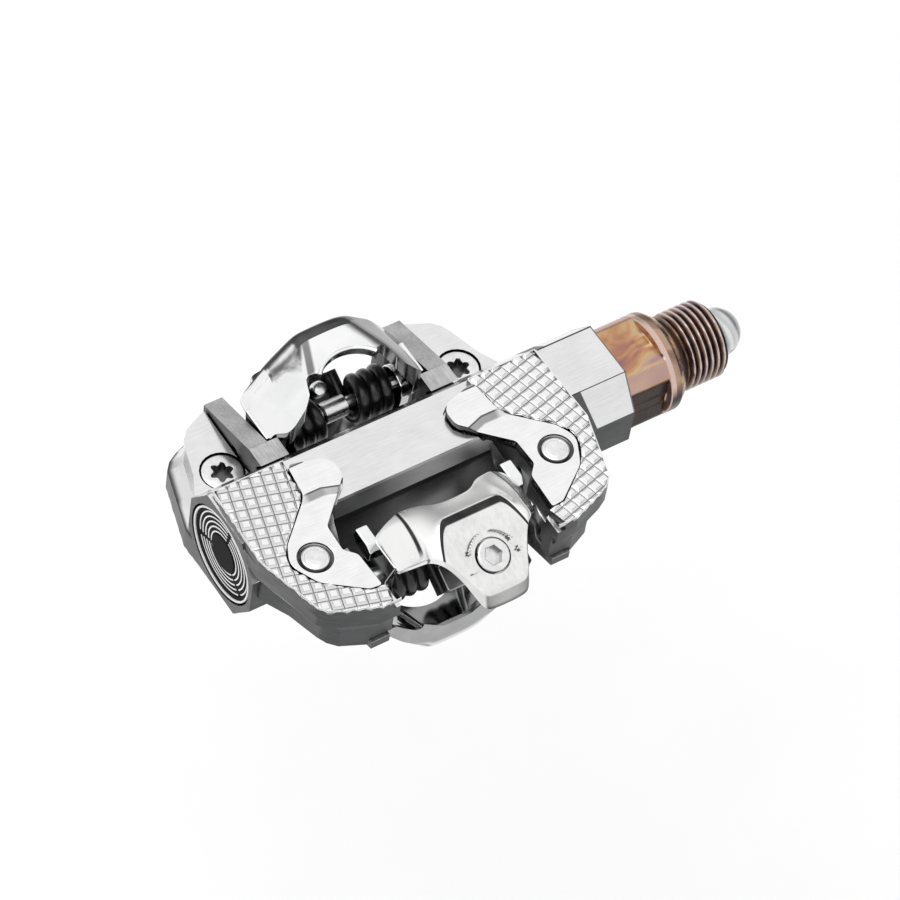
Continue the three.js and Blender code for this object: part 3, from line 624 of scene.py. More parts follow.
def heat_tint():
    """Orange, gold and violet bloom on the wrench section; brown and copper on the collar and thread. Painted
    reflection on the slanted facets and the collar's cone, painted highlights on the collar lip and thread
    crests, and painted shade in the thread grooves and underneath.
    """
    paint = Paint("heat_tinted_steel", Metallic=1.0)
    x, y, z = paint.axes()
    right, far, _ = paint.facing()
    bloom = paint.noise(95, 3, None, 0.5, 1.2)
    streak = paint.noise(1.0, 4, paint.stretched((3000, 240, 240)))
    flats = paint.ramp(bloom, [(0.32, (0.26, 0.13, 0.20)), (0.40, (0.42, 0.20, 0.14)),
                               (0.48, (0.54, 0.31, 0.16)),
                               (0.56, (0.60, 0.42, 0.24)), (0.66, (0.44, 0.27, 0.28))])
    collar = paint.ramp(bloom, [(0.32, (0.26, 0.16, 0.18)), (0.5, (0.50, 0.34, 0.25)),
                                (0.68, (0.24, 0.15, 0.12))])
    thread = paint.ramp(bloom, [(0.34, (0.16, 0.10, 0.14)), (0.5, (0.34, 0.22, 0.15)),
                                (0.66, (0.20, 0.13, 0.10))])
    # Painted reflection: slanted facets get a lighter pink copy of the tint.
    facet = paint.size(far)
    slant = paint.times(paint.rise(facet, 0.3, 0.5), paint.span(facet, 0.88, 0.96, 1, 0))
    flats = paint.mix(slant, flats, paint.ramp(bloom, [(0.35, (0.42, 0.26, 0.25)),
                                                       (0.65, (0.56, 0.38, 0.30))]))
    # Painted highlight: a bright pink line round the collar's lip.
    lip = paint.math("COMPARE", x, row_x(53.0), 0.5 * MM)
    collar = paint.mix(lip, collar, (0.68, 0.50, 0.44))
    # Painted reflection on the collar's cone: dark and gold spots.
    cone_reflection = paint.ramp(paint.noise(220, 3), [(0.42, (0.05, 0.03, 0.025)), (0.56, (0.62, 0.42, 0.22))])
    collar = paint.mix(paint.span(x, row_x(54.5), row_x(54.8), 0, 1), collar, cone_reflection)
    past_flats = paint.rise(x, row_x(52.1), row_x(52.8))
    past_collar = paint.rise(x, row_x(56.2), row_x(57.2))
    colour = paint.mix(past_collar, paint.mix(past_flats, flats, collar), thread)
    # Painted shade in the thread's grooves and a painted highlight on its crests.
    from_axis = paint.math("SQRT", paint.math("MULTIPLY_ADD", y, y, paint.times(z, z)))
    groove_shade = paint.times(past_collar, paint.fall(from_axis, 0.00645, 0.00685))
    colour = paint.mix(groove_shade, colour, (0.040, 0.026, 0.024))
    crest = paint.times(past_collar, paint.rise(from_axis, 0.00685, 0.00706))
    colour = paint.mix(crest, colour, paint.ramp(bloom, [(0.4, (0.66, 0.55, 0.50)),
                                                         (0.6, (0.58, 0.50, 0.52))]))
    # Painted shade: surfaces that face down are darkened.
    underside = paint.times(paint.fall(paint.true_z, 0.02, 0.42),
                            paint.span(paint.size(right), 0.3, 0.6, 1, 0.25))
    colour = paint.mix(underside, colour, paint.mix(1.0, colour, (0.045, 0.035, 0.035), "MULTIPLY"))
    return paint.wire(Base_Color=colour, Roughness=paint.between(streak, 0.2, 0.36),
                      Normal=paint.bump(streak, 0.12, LIGHT_BUMP))


def cloudy_dome():
    """Clear plastic with painted light and dark stripes that run round it: a painted highlight and painted
    shade set by the way the surface faces.
    """
    paint = Paint("cloudy_dome", Metallic=0.0, Transmission_Weight=0.2, IOR=1.46, Coat_Weight=0.8,
                  Coat_Roughness=0.03)
    cloud = paint.noise(260, 3)
    right, far, _ = paint.facing()
    # Painted highlight and painted shade: the tone follows the surface's direction.
    round_about = paint.span(paint.math("MULTIPLY_ADD", far, 0.25, right), -0.5, 0.7, 0, 1)
    painted_light_stripes = paint.ramp(round_about, [(0.10, (0.42, 0.43, 0.43)), (0.22, (0.60, 0.61, 0.61)),
                                     (0.30, (1.0, 1.0, 1.0)), (0.37, (0.98, 0.98, 0.98)),
                                     (0.42, (0.62, 0.63, 0.63)), (0.62, (0.85, 0.86, 0.86)),
                                     (0.74, (0.10, 0.105, 0.11)), (0.90, (0.35, 0.36, 0.36))])
    tone = paint.two_tones(cloud, (0.78, 0.79, 0.79), (0.92, 0.93, 0.93))
    return paint.wire(Base_Color=paint.mix(0.9, tone, painted_light_stripes, "MULTIPLY"),
                      Roughness=paint.between(cloud, 0.10, 0.2),
                      Normal=paint.bump(paint.noise(1200, 2), 0.04, 0.00003))


def moulded(name, low, high, rough=(0.35, 0.5), sheen=0.18):
    paint = Paint(name, Metallic=0.0, Specular_IOR_Level=sheen)
    cloud = paint.noise(1100, 4)
    return paint.wire(Base_Color=paint.two_tones(cloud, low, high), Roughness=paint.between(cloud, *rough),
                      Normal=paint.bump(cloud, 0.12, 0.00003))


def floor_paint():
    paint = Paint("pale_floor", Roughness=0.9, Specular_IOR_Level=0.0)
    tone = paint.two_tones(paint.noise(30, 3), (0.90, 0.90, 0.90), (0.915, 0.915, 0.915))
    return paint.wire(Base_Color=tone)


BODY = body_metal()
KNURL = knurl_metal()
POLISHED = plate_metal()
SATIN = plain_metal("satin_nickel", (0.80, 0.80, 0.79), (0.68, 0.68, 0.675), 0.20, 0.30, (1500, 260, 1500),
                    0.08,
                    wall_shade=0.12, wall_low=0.25, wall_high=0.5)
CLAW = claw_metal()
CHROME = plain_metal("mirror_chrome", (0.92, 0.925, 0.93), (0.82, 0.825, 0.83), 0.04, 0.10, (140, 140, 140),
                     0.04)
HOOK_CHROME = {"upper": hook_chrome("hook_chrome_upper", 1.0),
               "lower": hook_chrome("hook_chrome_lower", 0.25)}
EAR = plain_metal("ear_chrome", (0.90, 0.90, 0.90), (0.74, 0.74, 0.745), 0.08, 0.18, (300, 300, 300), 0.05,
                  wall_shade=0.6)
BRUSHED = plain_metal("brushed_carrier", (0.62, 0.62, 0.62), (0.30, 0.30, 0.305), 0.30, 0.44,
                      (6200, 420, 6200), 0.5)
BOLT = plain_metal("plated_screw", (0.86, 0.86, 0.86), (0.68, 0.68, 0.68), 0.20, 0.32, (900, 900, 900), 0.10)
DARK_STEEL = plain_metal("dark_steel", (0.50, 0.50, 0.51), (0.32, 0.32, 0.33), 0.28, 0.4)
BEARING = plain_metal("bearing_steel", (0.75, 0.76, 0.78), (0.58, 0.59, 0.60), 0.16, 0.28)
BRONZE = plain_metal("bush_bronze", (0.70, 0.52, 0.27), (0.52, 0.36, 0.17), 0.26, 0.4)
SPRING = black_spring()
HEAT = heat_tint()
DOME = cloudy_dome()
RUBBER = moulded("seal_rubber", (0.012, 0.012, 0.012), (0.03, 0.03, 0.03), (0.6, 0.8))
CAP_BLACK = moulded("cap_black", (0.010, 0.010, 0.011), (0.022, 0.022, 0.023), (0.5, 0.7), 0.03)
CAP_LIGHT = moulded("cap_rings", (0.72, 0.72, 0.72), (0.86, 0.86, 0.86), (0.25, 0.4))
CELL = moulded("cell_sleeve", (0.02, 0.10, 0.32), (0.04, 0.16, 0.45))
BOARD = moulded("board_lacquer", (0.01, 0.10, 0.03), (0.03, 0.18, 0.06))


# ---- outlines seen from above, right-hand side ----
PAD_OUTLINE = [
    (18.2, 5.08), (31.78, 5.08), (32.17, -10.9), (28.67, -23.0), (27.37, -24.48), (25.38, -25.57),
    (19.08, -27.92), (15.42, -27.92), (15.42, -24.4), (17.5, -24.1), (20, -20), (21, -12), (18.9, -3)]
PLATE_OUTLINE = [
    (18.0, 3.6), (12.4, 2.2), (11.0, 0.6), (11.1, -2.4), (14.2, -5.4), (18.6, -9.7),
    (18.8, -15.0), (17.0, -16.9), (16.7, -23.9), (18.9, -23.7), (25.6, -18.8), (28.2, -13.6),
    (26.4, -10.0), (19.1, -3.1), (18.5, 2.4)]
PLATE_ROUND = [1.4, 2.6, 2.6, 2.6, 6.0, 1.6, 1.2, 1.6, 0.5, 1.6, 4.0, 3.6, 3.0, 3.0, 1.4]
KNURL_PITCH = 2.05
KNURL_TURN = 0.27
KNURL_CENTRE = (24.0, -11.4)
KNURL_ACROSS, KNURL_ALONG = 11, 19


def grown(outline, distance):
    """Every edge of a counter-clockwise outline moved outwards."""
    count = len(outline)
    area = sum(outline[i - 1][0] * outline[i][1] - outline[i][0] * outline[i - 1][1] for i in range(count))
    turn = 1 if area > 0 else -1
    result = []
    for i, point in enumerate(outline):
        here, before, after = Vector(point), Vector(outline[i - 1]), Vector(outline[(i + 1) % count])
        a, b = (here - before).normalized(), (after - here).normalized()
        normal = Vector((a.y + b.y, -a.x - b.x)).normalized()
        lift = turn * distance / max(0.4, normal.dot(Vector((a.y, -a.x))))
        result.append(tuple(here + normal * lift))
    return result


def knurl_solid():
    """Truncated pyramids on a thin slab, right-hand side."""
    flat = 0.25
    points, faces = [], []

    def place(u, v, z):
        spot = Vector((u - KNURL_ACROSS / 2, v - KNURL_ALONG / 2)) * KNURL_PITCH
        spot.rotate(Matrix.Rotation(KNURL_TURN, 2))
        points.append((spot.x + KNURL_CENTRE[0], spot.y + KNURL_CENTRE[1], z))
        return len(points) - 1

    top, low = PAD_Z + 0.02, VALLEY_Z + 0.01
    valley = [[place(u, v, low) for u in range(KNURL_ACROSS + 1)] for v in range(KNURL_ALONG + 1)]
    for v in range(KNURL_ALONG):
        for u in range(KNURL_ACROSS):
            foot = [valley[v][u], valley[v][u + 1], valley[v + 1][u + 1], valley[v + 1][u]]
            head = [place(u + 0.5 + du, v + 0.5 + dv, top)
                    for du, dv in ((-flat, -flat), (flat, -flat), (flat, flat), (-flat, flat))]
            faces.append(tuple(head))
            for k in range(4):
                faces.append((foot[k], foot[(k + 1) % 4], head[(k + 1) % 4], head[k]))
    rim = ([(u, 0) for u in range(KNURL_ACROSS)] + [(KNURL_ACROSS, v) for v in range(KNURL_ALONG)]
           + [(u, KNURL_ALONG) for u in range(KNURL_ACROSS, 0, -1)] + [(0, v) for v in range(KNURL_ALONG, 0,
                                                                                             -1)])
    under = [place(u, v, VALLEY_Z - 0.5) for u, v in rim]
    edge = [valley[v][u] for u, v in rim]
    for k in range(len(rim)):
        n = (k + 1) % len(rim)
        faces.append((edge[n], edge[k], under[k], under[n]))
    faces.append(tuple(reversed(under)))
    return points, faces


def knurl_piece(name, side, lower):
    thing = new_object(name, mesh_of(mirrored(knurl_solid(), side), lower, name))
    pad = prism(side_outline(grown(PAD_OUTLINE, -0.15), side), VALLEY_Z - 2, PAD_Z + 2)
    rounded_plate = filleted(grown(PLATE_OUTLINE, 0.4), PLATE_ROUND)
    hole = prism(side_outline(rounded_plate, side), VALLEY_Z - 3, PAD_Z + 3)
    combine(thing, [pad], "INTERSECT", lower)
    combine(thing, [hole], "DIFFERENCE", lower)
    finish_piece(thing, "pedal", "shell", KNURL, bevel=0.07, segments=2, angle=20)
    outer, inner = (side_outline(grown(PAD_OUTLINE, inset), side) for inset in (-0.02, -0.2))
    rim = [[(x, y, z) for x, y in line] for line, z in ((outer, VALLEY_Z - 0.4), (outer, PAD_Z - 0.03),
                                                        (inner, PAD_Z - 0.03), (inner, VALLEY_Z - 0.4))]
    border = new_object(name + "_rim", mesh_of(ring_stack(rim + rim[:1], False, False), lower, name + "_rim"))
    low_x, high_x = sorted((side * 10, side * 17.4))
    corner = prism([(low_x, -27.6), (high_x, -27.6), (high_x, -20), (low_x, -20)], VALLEY_Z - 3, PAD_Z + 3)
    combine(border, [hole, corner], "DIFFERENCE", lower)
    finish_piece(border, "pedal", "shell", EAR)


def plate_height(x, y):
    """The raised tab over the barrel slopes down from an edge that slants near the middle."""
    step_y = STEP_Y - STEP_SLANT * max(0.0, STEP_BEND_X - x)
    t = max(0.0, min(1.0, 1 + (y - step_y) / STEP_RUN))
    return PLATE_TOP_Z + (PLATE_RAISED_Z - PLATE_TOP_Z) * t


def wear_plate(name, side, lower, node):
    outline = filleted(PLATE_OUTLINE, PLATE_ROUND)
    work = bmesh.new()
    loop = [work.verts.new((x, y, 0)) for x, y in outline]
    work.faces.new(loop)
    for cut_y in np.arange(-6.4, -2.4, 0.2):
        bmesh.ops.bisect_plane(work, geom=work.verts[:] + work.edges[:] + work.faces[:],
                               plane_co=(0, float(cut_y), 0), plane_no=(0, 1, 0))
    for cut_x in np.arange(11.4, 19.2, 0.5):
        chosen = [f for f in work.faces if -6.6 < f.calc_center_median().y < -2.4]
        edges = list({e for f in chosen for e in f.edges})
        corners = list({c for f in chosen for c in f.verts})
        bmesh.ops.bisect_plane(work, geom=corners + edges + chosen, plane_co=(float(cut_x), 0, 0),
                               plane_no=(1, 0, 0))
    bmesh.ops.triangulate(work, faces=[f for f in work.faces if len(f.verts) > 4])
    extruded = bmesh.ops.extrude_face_region(work, geom=work.faces[:])
    for corner in [g for g in extruded["geom"] if isinstance(g, bmesh.types.BMVert)]:
        corner.co.z = -1
    points = []
    work.verts.index_update()
    for corner in work.verts:
        x, y, z = corner.co
        points.append((x, y, PLATE_BASE_Z if z < -0.5 else plate_height(x, y)))
    faces = [tuple(v.index for v in face.verts) for face in work.faces]
    work.free()
    thing = new_object(name, mesh_of(mirrored((points, faces), side), lower, name))
    hole = round_z([(PLATE_BASE_Z - 1, 3.1), (PLATE_RAISED_Z + 1, 3.1)], 64, side * WING_SCREW[0],
                   WING_SCREW[1])
    combine(thing, [hole], "DIFFERENCE", lower)
    finish_piece(thing, "pedal", "plate", POLISHED, (node,), bevel=0.2, segments=3, angle=40)


# ---- round fasteners ----
def star(angle):
    return 1.75 + 0.34 * math.cos(6 * angle)


def hexagon(angle):
    return 1.47 / math.cos((angle % (TAU / 6)) - TAU / 12)


def wing_screw(side):
    face, tip = -0.52, 11.2
    stations = [
        (face + 1.5, 0.02), (face + 1.5, star), (face + 0.12, star), (face, lambda a: star(a) + 0.12),
        (face, 3.35), (face + 0.08, 3.55), (face + 0.28, 3.65), (1.9, 3.65), (1.9, 2.6), (10.0, 2.6),
        (10.0, 3.05), (10.72, 3.05), (10.05, 2.45), (tip - 0.42, 2.42), (tip - 0.14, 2.34), (tip, 2.1),
        (tip, 1.86), (tip - 0.07, 1.78), (tip - 0.02, 1.66), (tip, 1.5), (tip, 0.02)]
    return round_z(stations, 72, side * WING_SCREW[0], WING_SCREW[1])


def tension_matrix():
    return Matrix.Translation((0, HEAD_Y, HEAD_Z)) @ Matrix.Rotation(CLAW_SLOPE, 4, "X")


def tension_screw():
    stations = [
        (-1.6, 0.02), (-1.5, hexagon), (0.0, hexagon), (0.1, lambda a: hexagon(a) + 0.1), (0.1, 2.5),
        (0.03, 2.72), (-0.15, 2.85), (-2.2, 2.85), (-2.2, 1.45), (-19.4, 1.42), (-19.85, 1.2), (-20, 0.9),
        (-20, 0.02)]
    return moved(round_z(stations, 72), tension_matrix())


def tension_nut():
    outline = filleted([(4, -2.4), (4, 2.4), (-4, 2.4), (-4, -2.4)], 0.8)
    return moved(prism(outline, -16.6, -14.4), tension_matrix())


def spring_path(side):
    mean_r, inner, outer, turns = 3.32, 3.6, 10.45, 3
    start, sweep = math.pi / 2, TAU * turns + CLAW_SLOPE
    line = [(side * outer, PIVOT_Y + 4.2 - d, mean_r) for d in (0.0, 1.5, 3.0)]
    steps = 34 * turns
    for i in range(steps + 1):
        angle = start + sweep * i / steps
        x = outer + (inner - outer) * i / steps
        line.append((side * x, PIVOT_Y + mean_r * math.cos(angle), mean_r * math.sin(angle)))
    end = start + sweep
    for d in (1.6, 3.2, 4.8, 6.4):
        line.append((side * inner, line[steps + 3][1] - math.sin(end) * d,
                     line[steps + 3][2] + math.cos(end) * d))
    return line


# ---- spindle and its neighbours ----
def thread_radius(x):
    """Left-handed thread: the crest runs the other way round from a right-handed one."""
    def radius(angle):
        phase = ((x - THREAD_START) / THREAD_PITCH + angle / TAU) % 1.0
        rise = abs(phase - 0.5) * 2
        crest = THREAD_R - THREAD_DEPTH * max(0.0, min(1.0, (rise - 0.16) / 0.70))
        tip_limit = THREAD_R - max(0.0, x - (THREAD_END - 0.9)) * 0.9
        root_start = 6.4 + max(0.0, x - THREAD_START) * 0.9
        return min(crest, tip_limit, max(root_start, 6.42))
    return radius


def wrench_radius(limit):
    def radius(angle):
        return min(limit, 7.5 / max(abs(math.cos(angle)), abs(math.sin(angle))))
    return radius


def spindle():
    stations = [
        (-28.6, 0.02), (-28.6, 3.4), (-28.3, 3.7), (-26.3, 3.7), (-26.3, 4.9), (-7, 4.9), (-6.3, 5.6),
        (19, 5.6),
        (20, 6.5), (38.6, 6.5), (39.4, 7.5), (44.0, 7.5), (44.02, wrench_radius(8.9)),
        (44.2, wrench_radius(9.1)),
        (52.2, wrench_radius(9.1)), (52.4, lambda a: max(wrench_radius(9.1)(a), 7.7)),
        (52.5, lambda a: max(wrench_radius(9.1)(a), 8.9)), (52.7, 9.1), (54.5, 9.1), (54.75, 9.02),
        (56.1, 7.98), (56.2, 7.8), (56.2, 6.7), (56.35, 6.52), (57.3, 6.42)]
    steps = int((THREAD_END - THREAD_START) / THREAD_PITCH * 16)
    for i in range(steps + 1):
        x = THREAD_START + (THREAD_END - THREAD_START) * i / steps
        stations.append((x, thread_radius(x)))
    stations += [(THREAD_END, 4.05), (THREAD_END - 3.4, 4.0), (THREAD_END - 3.4, 0.02)]
    return round_x(stations, 128)


def dome():
    base, centre, radius = 66.5, 67.8, 4.5
    stations = [(62.8, 0.02), (62.8, 3.6), (base, 3.65), (base, radius - 0.15), (base + 0.15, radius),
                (centre - 0.1, radius)]
    for i in range(1, 15):
        angle = i / 15 * math.pi / 2
        stations.append((centre + radius * math.sin(angle), radius * math.cos(angle)))
    stations.append((centre + radius, 0.02))
    return round_x(stations, 72)


def cap_disc():
    face, inner, rim = OUTBOARD_X + 0.35, OUTBOARD_X + 2.8, 8.95
    stations = [(inner, 0.02), (inner, rim), (face + 0.3, rim), (face, rim - 0.3), (face, 8.0),
                (face + 0.35, 7.8),
                (face + 0.35, 3.55), (face + 0.05, 3.5), (face + 0.05, 0.02)]
    return round_x(list(reversed(stations)), 96)


CAP_RINGS = (3.95, 4.85, 5.75, 6.65, 7.55)
CAP_BREAKS = (math.radians(100), math.radians(220), math.radians(340))


def cap_ring(radius, width):
    """A raised ring, left open where the breaks are."""
    face, foot = OUTBOARD_X + 0.63, OUTBOARD_X + 0.80
    half_gap = math.radians(4.5)
    inner, outer = radius - width / 2, radius + width / 2
    parts = []
    for k, start in enumerate(CAP_BREAKS):
        end = CAP_BREAKS[(k + 1) % 3] + (TAU if k == 2 else 0)
        rings = [[(x, r * c, r * s) for x, r in ((face, inner), (face, outer), (foot, outer), (foot, inner))]
                 for c, s in circle(1, 40, start + half_gap, end - half_gap)]
        parts.append(ring_stack(rings))
    return joined(*parts)


# ---- sprung claw ----
# stations across the half width; each runs lip, brow, crease, middle, rear edge, flange foot
CLAW_HALF = [
    [(0, -18.2, 17.4), (0, -20.2, 18.8), (0, -22.5, 20.1), (0, -29.0, 16.9), (0, -35.3, 13.9),
     (0, -36.5, 10.4)],
    [(3.3, -18.0, 17.3), (3.4, -20.1, 18.7), (3.4, -22.5, 20.1), (3.4, -29.0, 16.9), (3.2, -35.3, 13.9),
     (3.2, -36.4, 10.4)],
    [(4.7, -16.8, 16.6), (4.8, -19.4, 18.2), (4.8, -22.5, 20.1), (5.2, -28.6, 17.1), (4.5, -35.0, 14.0),
     (4.6, -35.9, 10.7)],
    [(6.0, -15.7, 15.8), (6.1, -18.5, 17.6), (6.2, -22.9, 19.9), (6.9, -27.6, 17.6), (6.0, -31.4, 15.8),
     (6.1, -31.9, 14.4)],
    [(7.5, -15.4, 15.5), (7.5, -17.9, 17.1), (7.6, -24.3, 19.1), (8.8, -26.4, 18.2), (8.2, -27.9, 17.5),
     (8.2, -28.2, 16.2)],
    [(8.8, -15.4, 15.6), (8.8, -17.5, 16.9), (9.0, -23.0, 18.2), (9.8, -25.9, 17.8), (9.8, -27.0, 17.2),
     (9.7, -26.9, 16.0)],
    [(9.3, -15.5, 15.7), (9.3, -17.4, 16.8), (9.4, -22.0, 18.0), (9.8, -25.2, 17.2), (10.0, -26.2, 16.3),
     (9.9, -26.1, 15.0)],
    [(11.6, -15.6, 14.0), (11.6, -16.9, 14.7), (11.6, -20.6, 15.2), (11.6, -23.0, 14.4), (11.6, -24.2, 13.0),
     (11.6, -24.2, 12.0)],
    [(13.5, -15.7, 11.5), (13.5, -16.5, 12.0), (13.5, -19.5, 12.4), (13.5, -22.0, 12.2), (13.5, -23.3, 11.5),
     (13.5, -23.3, 10.6)],
]


def claw_cage(thick=2.1, edge_thick=1.4):
    """The half rows with an underside, mirrored into one closed cage."""
    half = []
    for row in CLAW_HALF:
        lip, brow, crease, middle, rear, foot = row
        thin = edge_thick if row is CLAW_HALF[-1] else thick
        under = [(foot[0], foot[1] + 1.5, foot[2] + 0.15),
                 (rear[0] * 0.98, rear[1] + 1.7, rear[2] - thin * 0.85),
                 (middle[0] * 0.98, middle[1] + 0.5, middle[2] - thin),
                 (crease[0], crease[1] + 0.1, crease[2] - thin - 0.2),
                 (brow[0], brow[1] - 0.9, brow[2] - thin),
                 (lip[0], lip[1] - 0.1, lip[2] - 1.5)]
        half.append(row + under)
    rows = [[(-x, y, z) for x, y, z in row] for row in reversed(half[1:])] + half
    return ring_stack(rows)


def claw_roof(name, lower):
    thing = new_object(name, mesh_of(claw_cage(), lower, name))
    work = bmesh.new()
    work.from_mesh(thing.data)
    layer = work.edges.layers.float.new("crease_edge")
    flip = -1 if lower else 1
    spots = {}
    for corner in work.verts:
        spots[(round(corner.co.x / MM - SHIFT_X, 2), round(flip * corner.co.y / MM, 2),
               round(flip * corner.co.z / MM, 2))] = corner

    def crease(points, amount):
        for a, b in zip(points, points[1:]):
            va = spots.get(tuple(round(v, 2) for v in a))
            vb = spots.get(tuple(round(v, 2) for v in b))
            edge = work.edges.get((va, vb)) if va and vb else None
            if edge:
                edge[layer] = amount

    for side in (1, -1):
        rows_here = [[(side * x, y, z) for x, y, z in row] for row in CLAW_HALF]
        crease([row[0] for row in rows_here], 0.75)
        crease([row[2] for row in rows_here[:5]], 0.62)
        crease([row[4] for row in rows_here], 0.7)
        crease([row[5] for row in rows_here], 0.8)
        crease(rows_here[6][1:], 0.8)
        crease(rows_here[8], 0.8)
        crease([row[1] for row in rows_here[6:]], 0.3)
    work.to_mesh(thing.data)
    work.free()
    rounder = thing.modifiers.new("rounder", "SUBSURF")
    rounder.levels = rounder.render_levels = 3
    return applied(thing)


def claw_ear(side):
    outline = [(PIVOT_Y + y, z) for y, z in circle(3.4, 24, math.pi, TAU)]
    outline += [(-14.0, 3.4), (-14.3, 6.0), (-15.8, 11.9), (-22.8, 12.1), (-20.9, 6.0)]
    low, high = sorted((side * 11.7, side * 13.7))
    return prism_x(outline, low, high)


def claw_horn(side):
    corners = [(-12.5, 10.2), (-12.9, 12.1), (-16.6, 12.0), (-17.6, 10.6), (-17.6, 8.4), (-14.2, 8.4)]
    outline = filleted(corners, 0.5)
    low, high = sorted((side * 13.0, side * 15.3))
    return prism_x(outline, low, high)


def turned_box(x, y, z, length, width, height, angle):
    """A small bar lying on the claw's plate, turned about the plate's normal."""
    half_l, half_w = length / 2, width / 2
    outline = filleted([(half_l, half_w), (-half_l, half_w), (-half_l, -half_w), (half_l, -half_w)],
                       min(half_l, half_w) * 0.8, 2)
    matrix = tension_matrix() @ Matrix.Translation((x, y, z)) @ Matrix.Rotation(angle, 4, "Z")
    return moved(prism(outline, -0.25, height), matrix)


def tension_marks():
    """Two broken arcs with arrow heads, a plus and a minus, standing just proud of the plate."""
    radius, seat, width, height, steps = 4.25, 0.1, 0.24, 0.26, 7

    def bar(x, y, length, angle):
        parts.append(turned_box(x, y, seat, length, width, height, angle))

    parts = []
    for start, end in ((25, 72), (98, 150)):
        length = radius * math.radians(end - start) / steps * 0.86
        for i in range(steps):
            angle = math.radians(start + (end - start) * (i + 0.5) / steps)
            bar(radius * math.cos(angle), radius * math.sin(angle), length, angle + math.pi / 2)
    for angle, spread in ((math.radians(22), 1), (math.radians(153), -1)):
        for bend in (0.75, -0.75):
            bar(radius * math.cos(angle), radius * math.sin(angle), 0.95, angle + math.pi / 2 + spread * bend)
    bar(4.6, -0.6, 1.1, 0)
    bar(4.6, -0.6, 1.1, math.pi / 2)
    bar(-4.2, -1.4, 1.3, 0)
    return joined(*parts)


def build_claw(prefix, lower):
    body = prefix + "_claw"
    roof = claw_roof(body + "_shell", lower)
    combine(roof, [moved(round_z([(-4.2, 4.2), (-0.9, 4.2)], 48), tension_matrix())], "UNION", lower)
    combine(roof, [moved(round_z([(-2.6, 3.15), (6, 3.15)], 64), tension_matrix()),
                   moved(round_z([(-8, 1.75), (6, 1.75)], 48), tension_matrix())], "DIFFERENCE", lower)
    finish_piece(roof, body, "claw_steel", CLAW, (body,), angle=38)
    for hand, side in (("right", 1), ("left", -1)):
        add_piece(f"{body}_{hand}_ear", claw_ear(side), body, "claw_steel", EAR, lower=lower,
                  bevel=0.3, segments=3)
        add_piece(f"{body}_{hand}_horn", claw_horn(side), body, "claw_steel", CHROME, lower=lower,
                  bevel=0.35, segments=3)
    add_piece(f"{body}_marks", tension_marks(), body, "claw_steel", SATIN, lower=lower, bevel=0.05)


# ---- fixed hook ----
def hook_ring(y, half_top, top_z, depth, foot_z=4.3, leg=15.7):
    middle = (half_top + leg) / 2
    slope_z = (top_z + foot_z) / 2
    corners = [(-leg, foot_z), (-middle - 0.25, slope_z + 0.2), (-half_top, top_z), (0, top_z + 0.35),
               (half_top, top_z), (middle + 0.7, slope_z + 0.6), (leg, foot_z),
               (leg - depth * 1.3, foot_z), (half_top - depth * 0.42, top_z - depth),
               (-half_top + depth * 0.42, top_z - depth), (-leg + depth * 1.3, foot_z)]
    rounds = [0.25, 9, 4.0, 40, 7.0, 9, 0.25, 0.25, 2.0, 2.4, 0.25]
    return [(x, y, z) for x, z in filleted(corners, rounds, 6)]


def hook_hood(name, lower):
    shell = 2.0
    rings = [hook_ring(y, half_top, top_z, shell) for y, half_top, top_z in (
        (10.3, 8.9, 14.2), (13.0, 8.3, 15.3), (15.6, 7.4, 15.95), (19.3, 5.8, 16.1), (21.5, 4.9, 16.15))]
    for y, drop in ((21.7, 0.1), (22.6, 0.32), (23.6, 0.62), (24.2, 0.95), (24.6, 1.5), (24.8, 2.3),
                    (24.85, 3.2)):
        rings.append(hook_ring(y, 4.9 - 0.2 * drop, 16.15 - drop, shell + 0.5 * drop, leg=15.7 - 0.6 * drop))
    thing = new_object(name, mesh_of(ring_stack(rings), lower, name))
    lip = [(6.9 * math.cos(a), 10.5 + 6.9 * math.sin(a))
           for a in (math.pi * (0.78 - 0.56 * i / 28) for i in range(29))]
    half = [(7.7, 15.7), (8.7, 12.6), (9.9, 11.4), (12.9, 10.7), (14.4, 13.3), (15.8, 13.6), (15.8, 23.4),
            (6.2, 25.0)]
    half_round = [0.7, 1.6, 1.6, 1.6, 1.0, 0.3, 2.2, 1.0]
    outline = filleted(lip + half + [(-x, y) for x, y in reversed(half)],
                       [0] * len(lip) + half_round + half_round[::-1], 5)
    combine(thing, [prism(outline, 3, 20)], "INTERSECT", lower)
    return thing


def hook_leg(side):
    outline = [(20.6, 5.4), (13.6, 5.4)]
    outline += [(17 + y, z) for y, z in circle(3.0, 20, math.pi, TAU)]
    low, high = sorted((side * 14.1, side * 15.7))
    return prism_x(outline, low, high)


def build_hook(prefix, lower):
    node = prefix + "_hook"
    hood = hook_hood(node + "_hood", lower)
    finish_piece(hood, "pedal", "hook_chrome", HOOK_CHROME[prefix], (node,), bevel=0.3, segments=4, angle=34)
    lip = [(6.95 * math.cos(a), 10.5 + 6.95 * math.sin(a), 15.55 + 0.25 * math.sin(a))
           for a in (math.pi * (0.8 - 0.6 * i / 40) for i in range(41))]
    add_piece(node + "_lip", tube(lip, 0.42, 16), "pedal", "hook_chrome", CHROME, lower=lower)
    for hand, side in (("right", 1), ("left", -1)):
        add_piece(f"{node}_{hand}_leg", hook_leg(side), "pedal", "hook_chrome", CHROME, lower=lower,
                  bevel=0.25, segments=3)


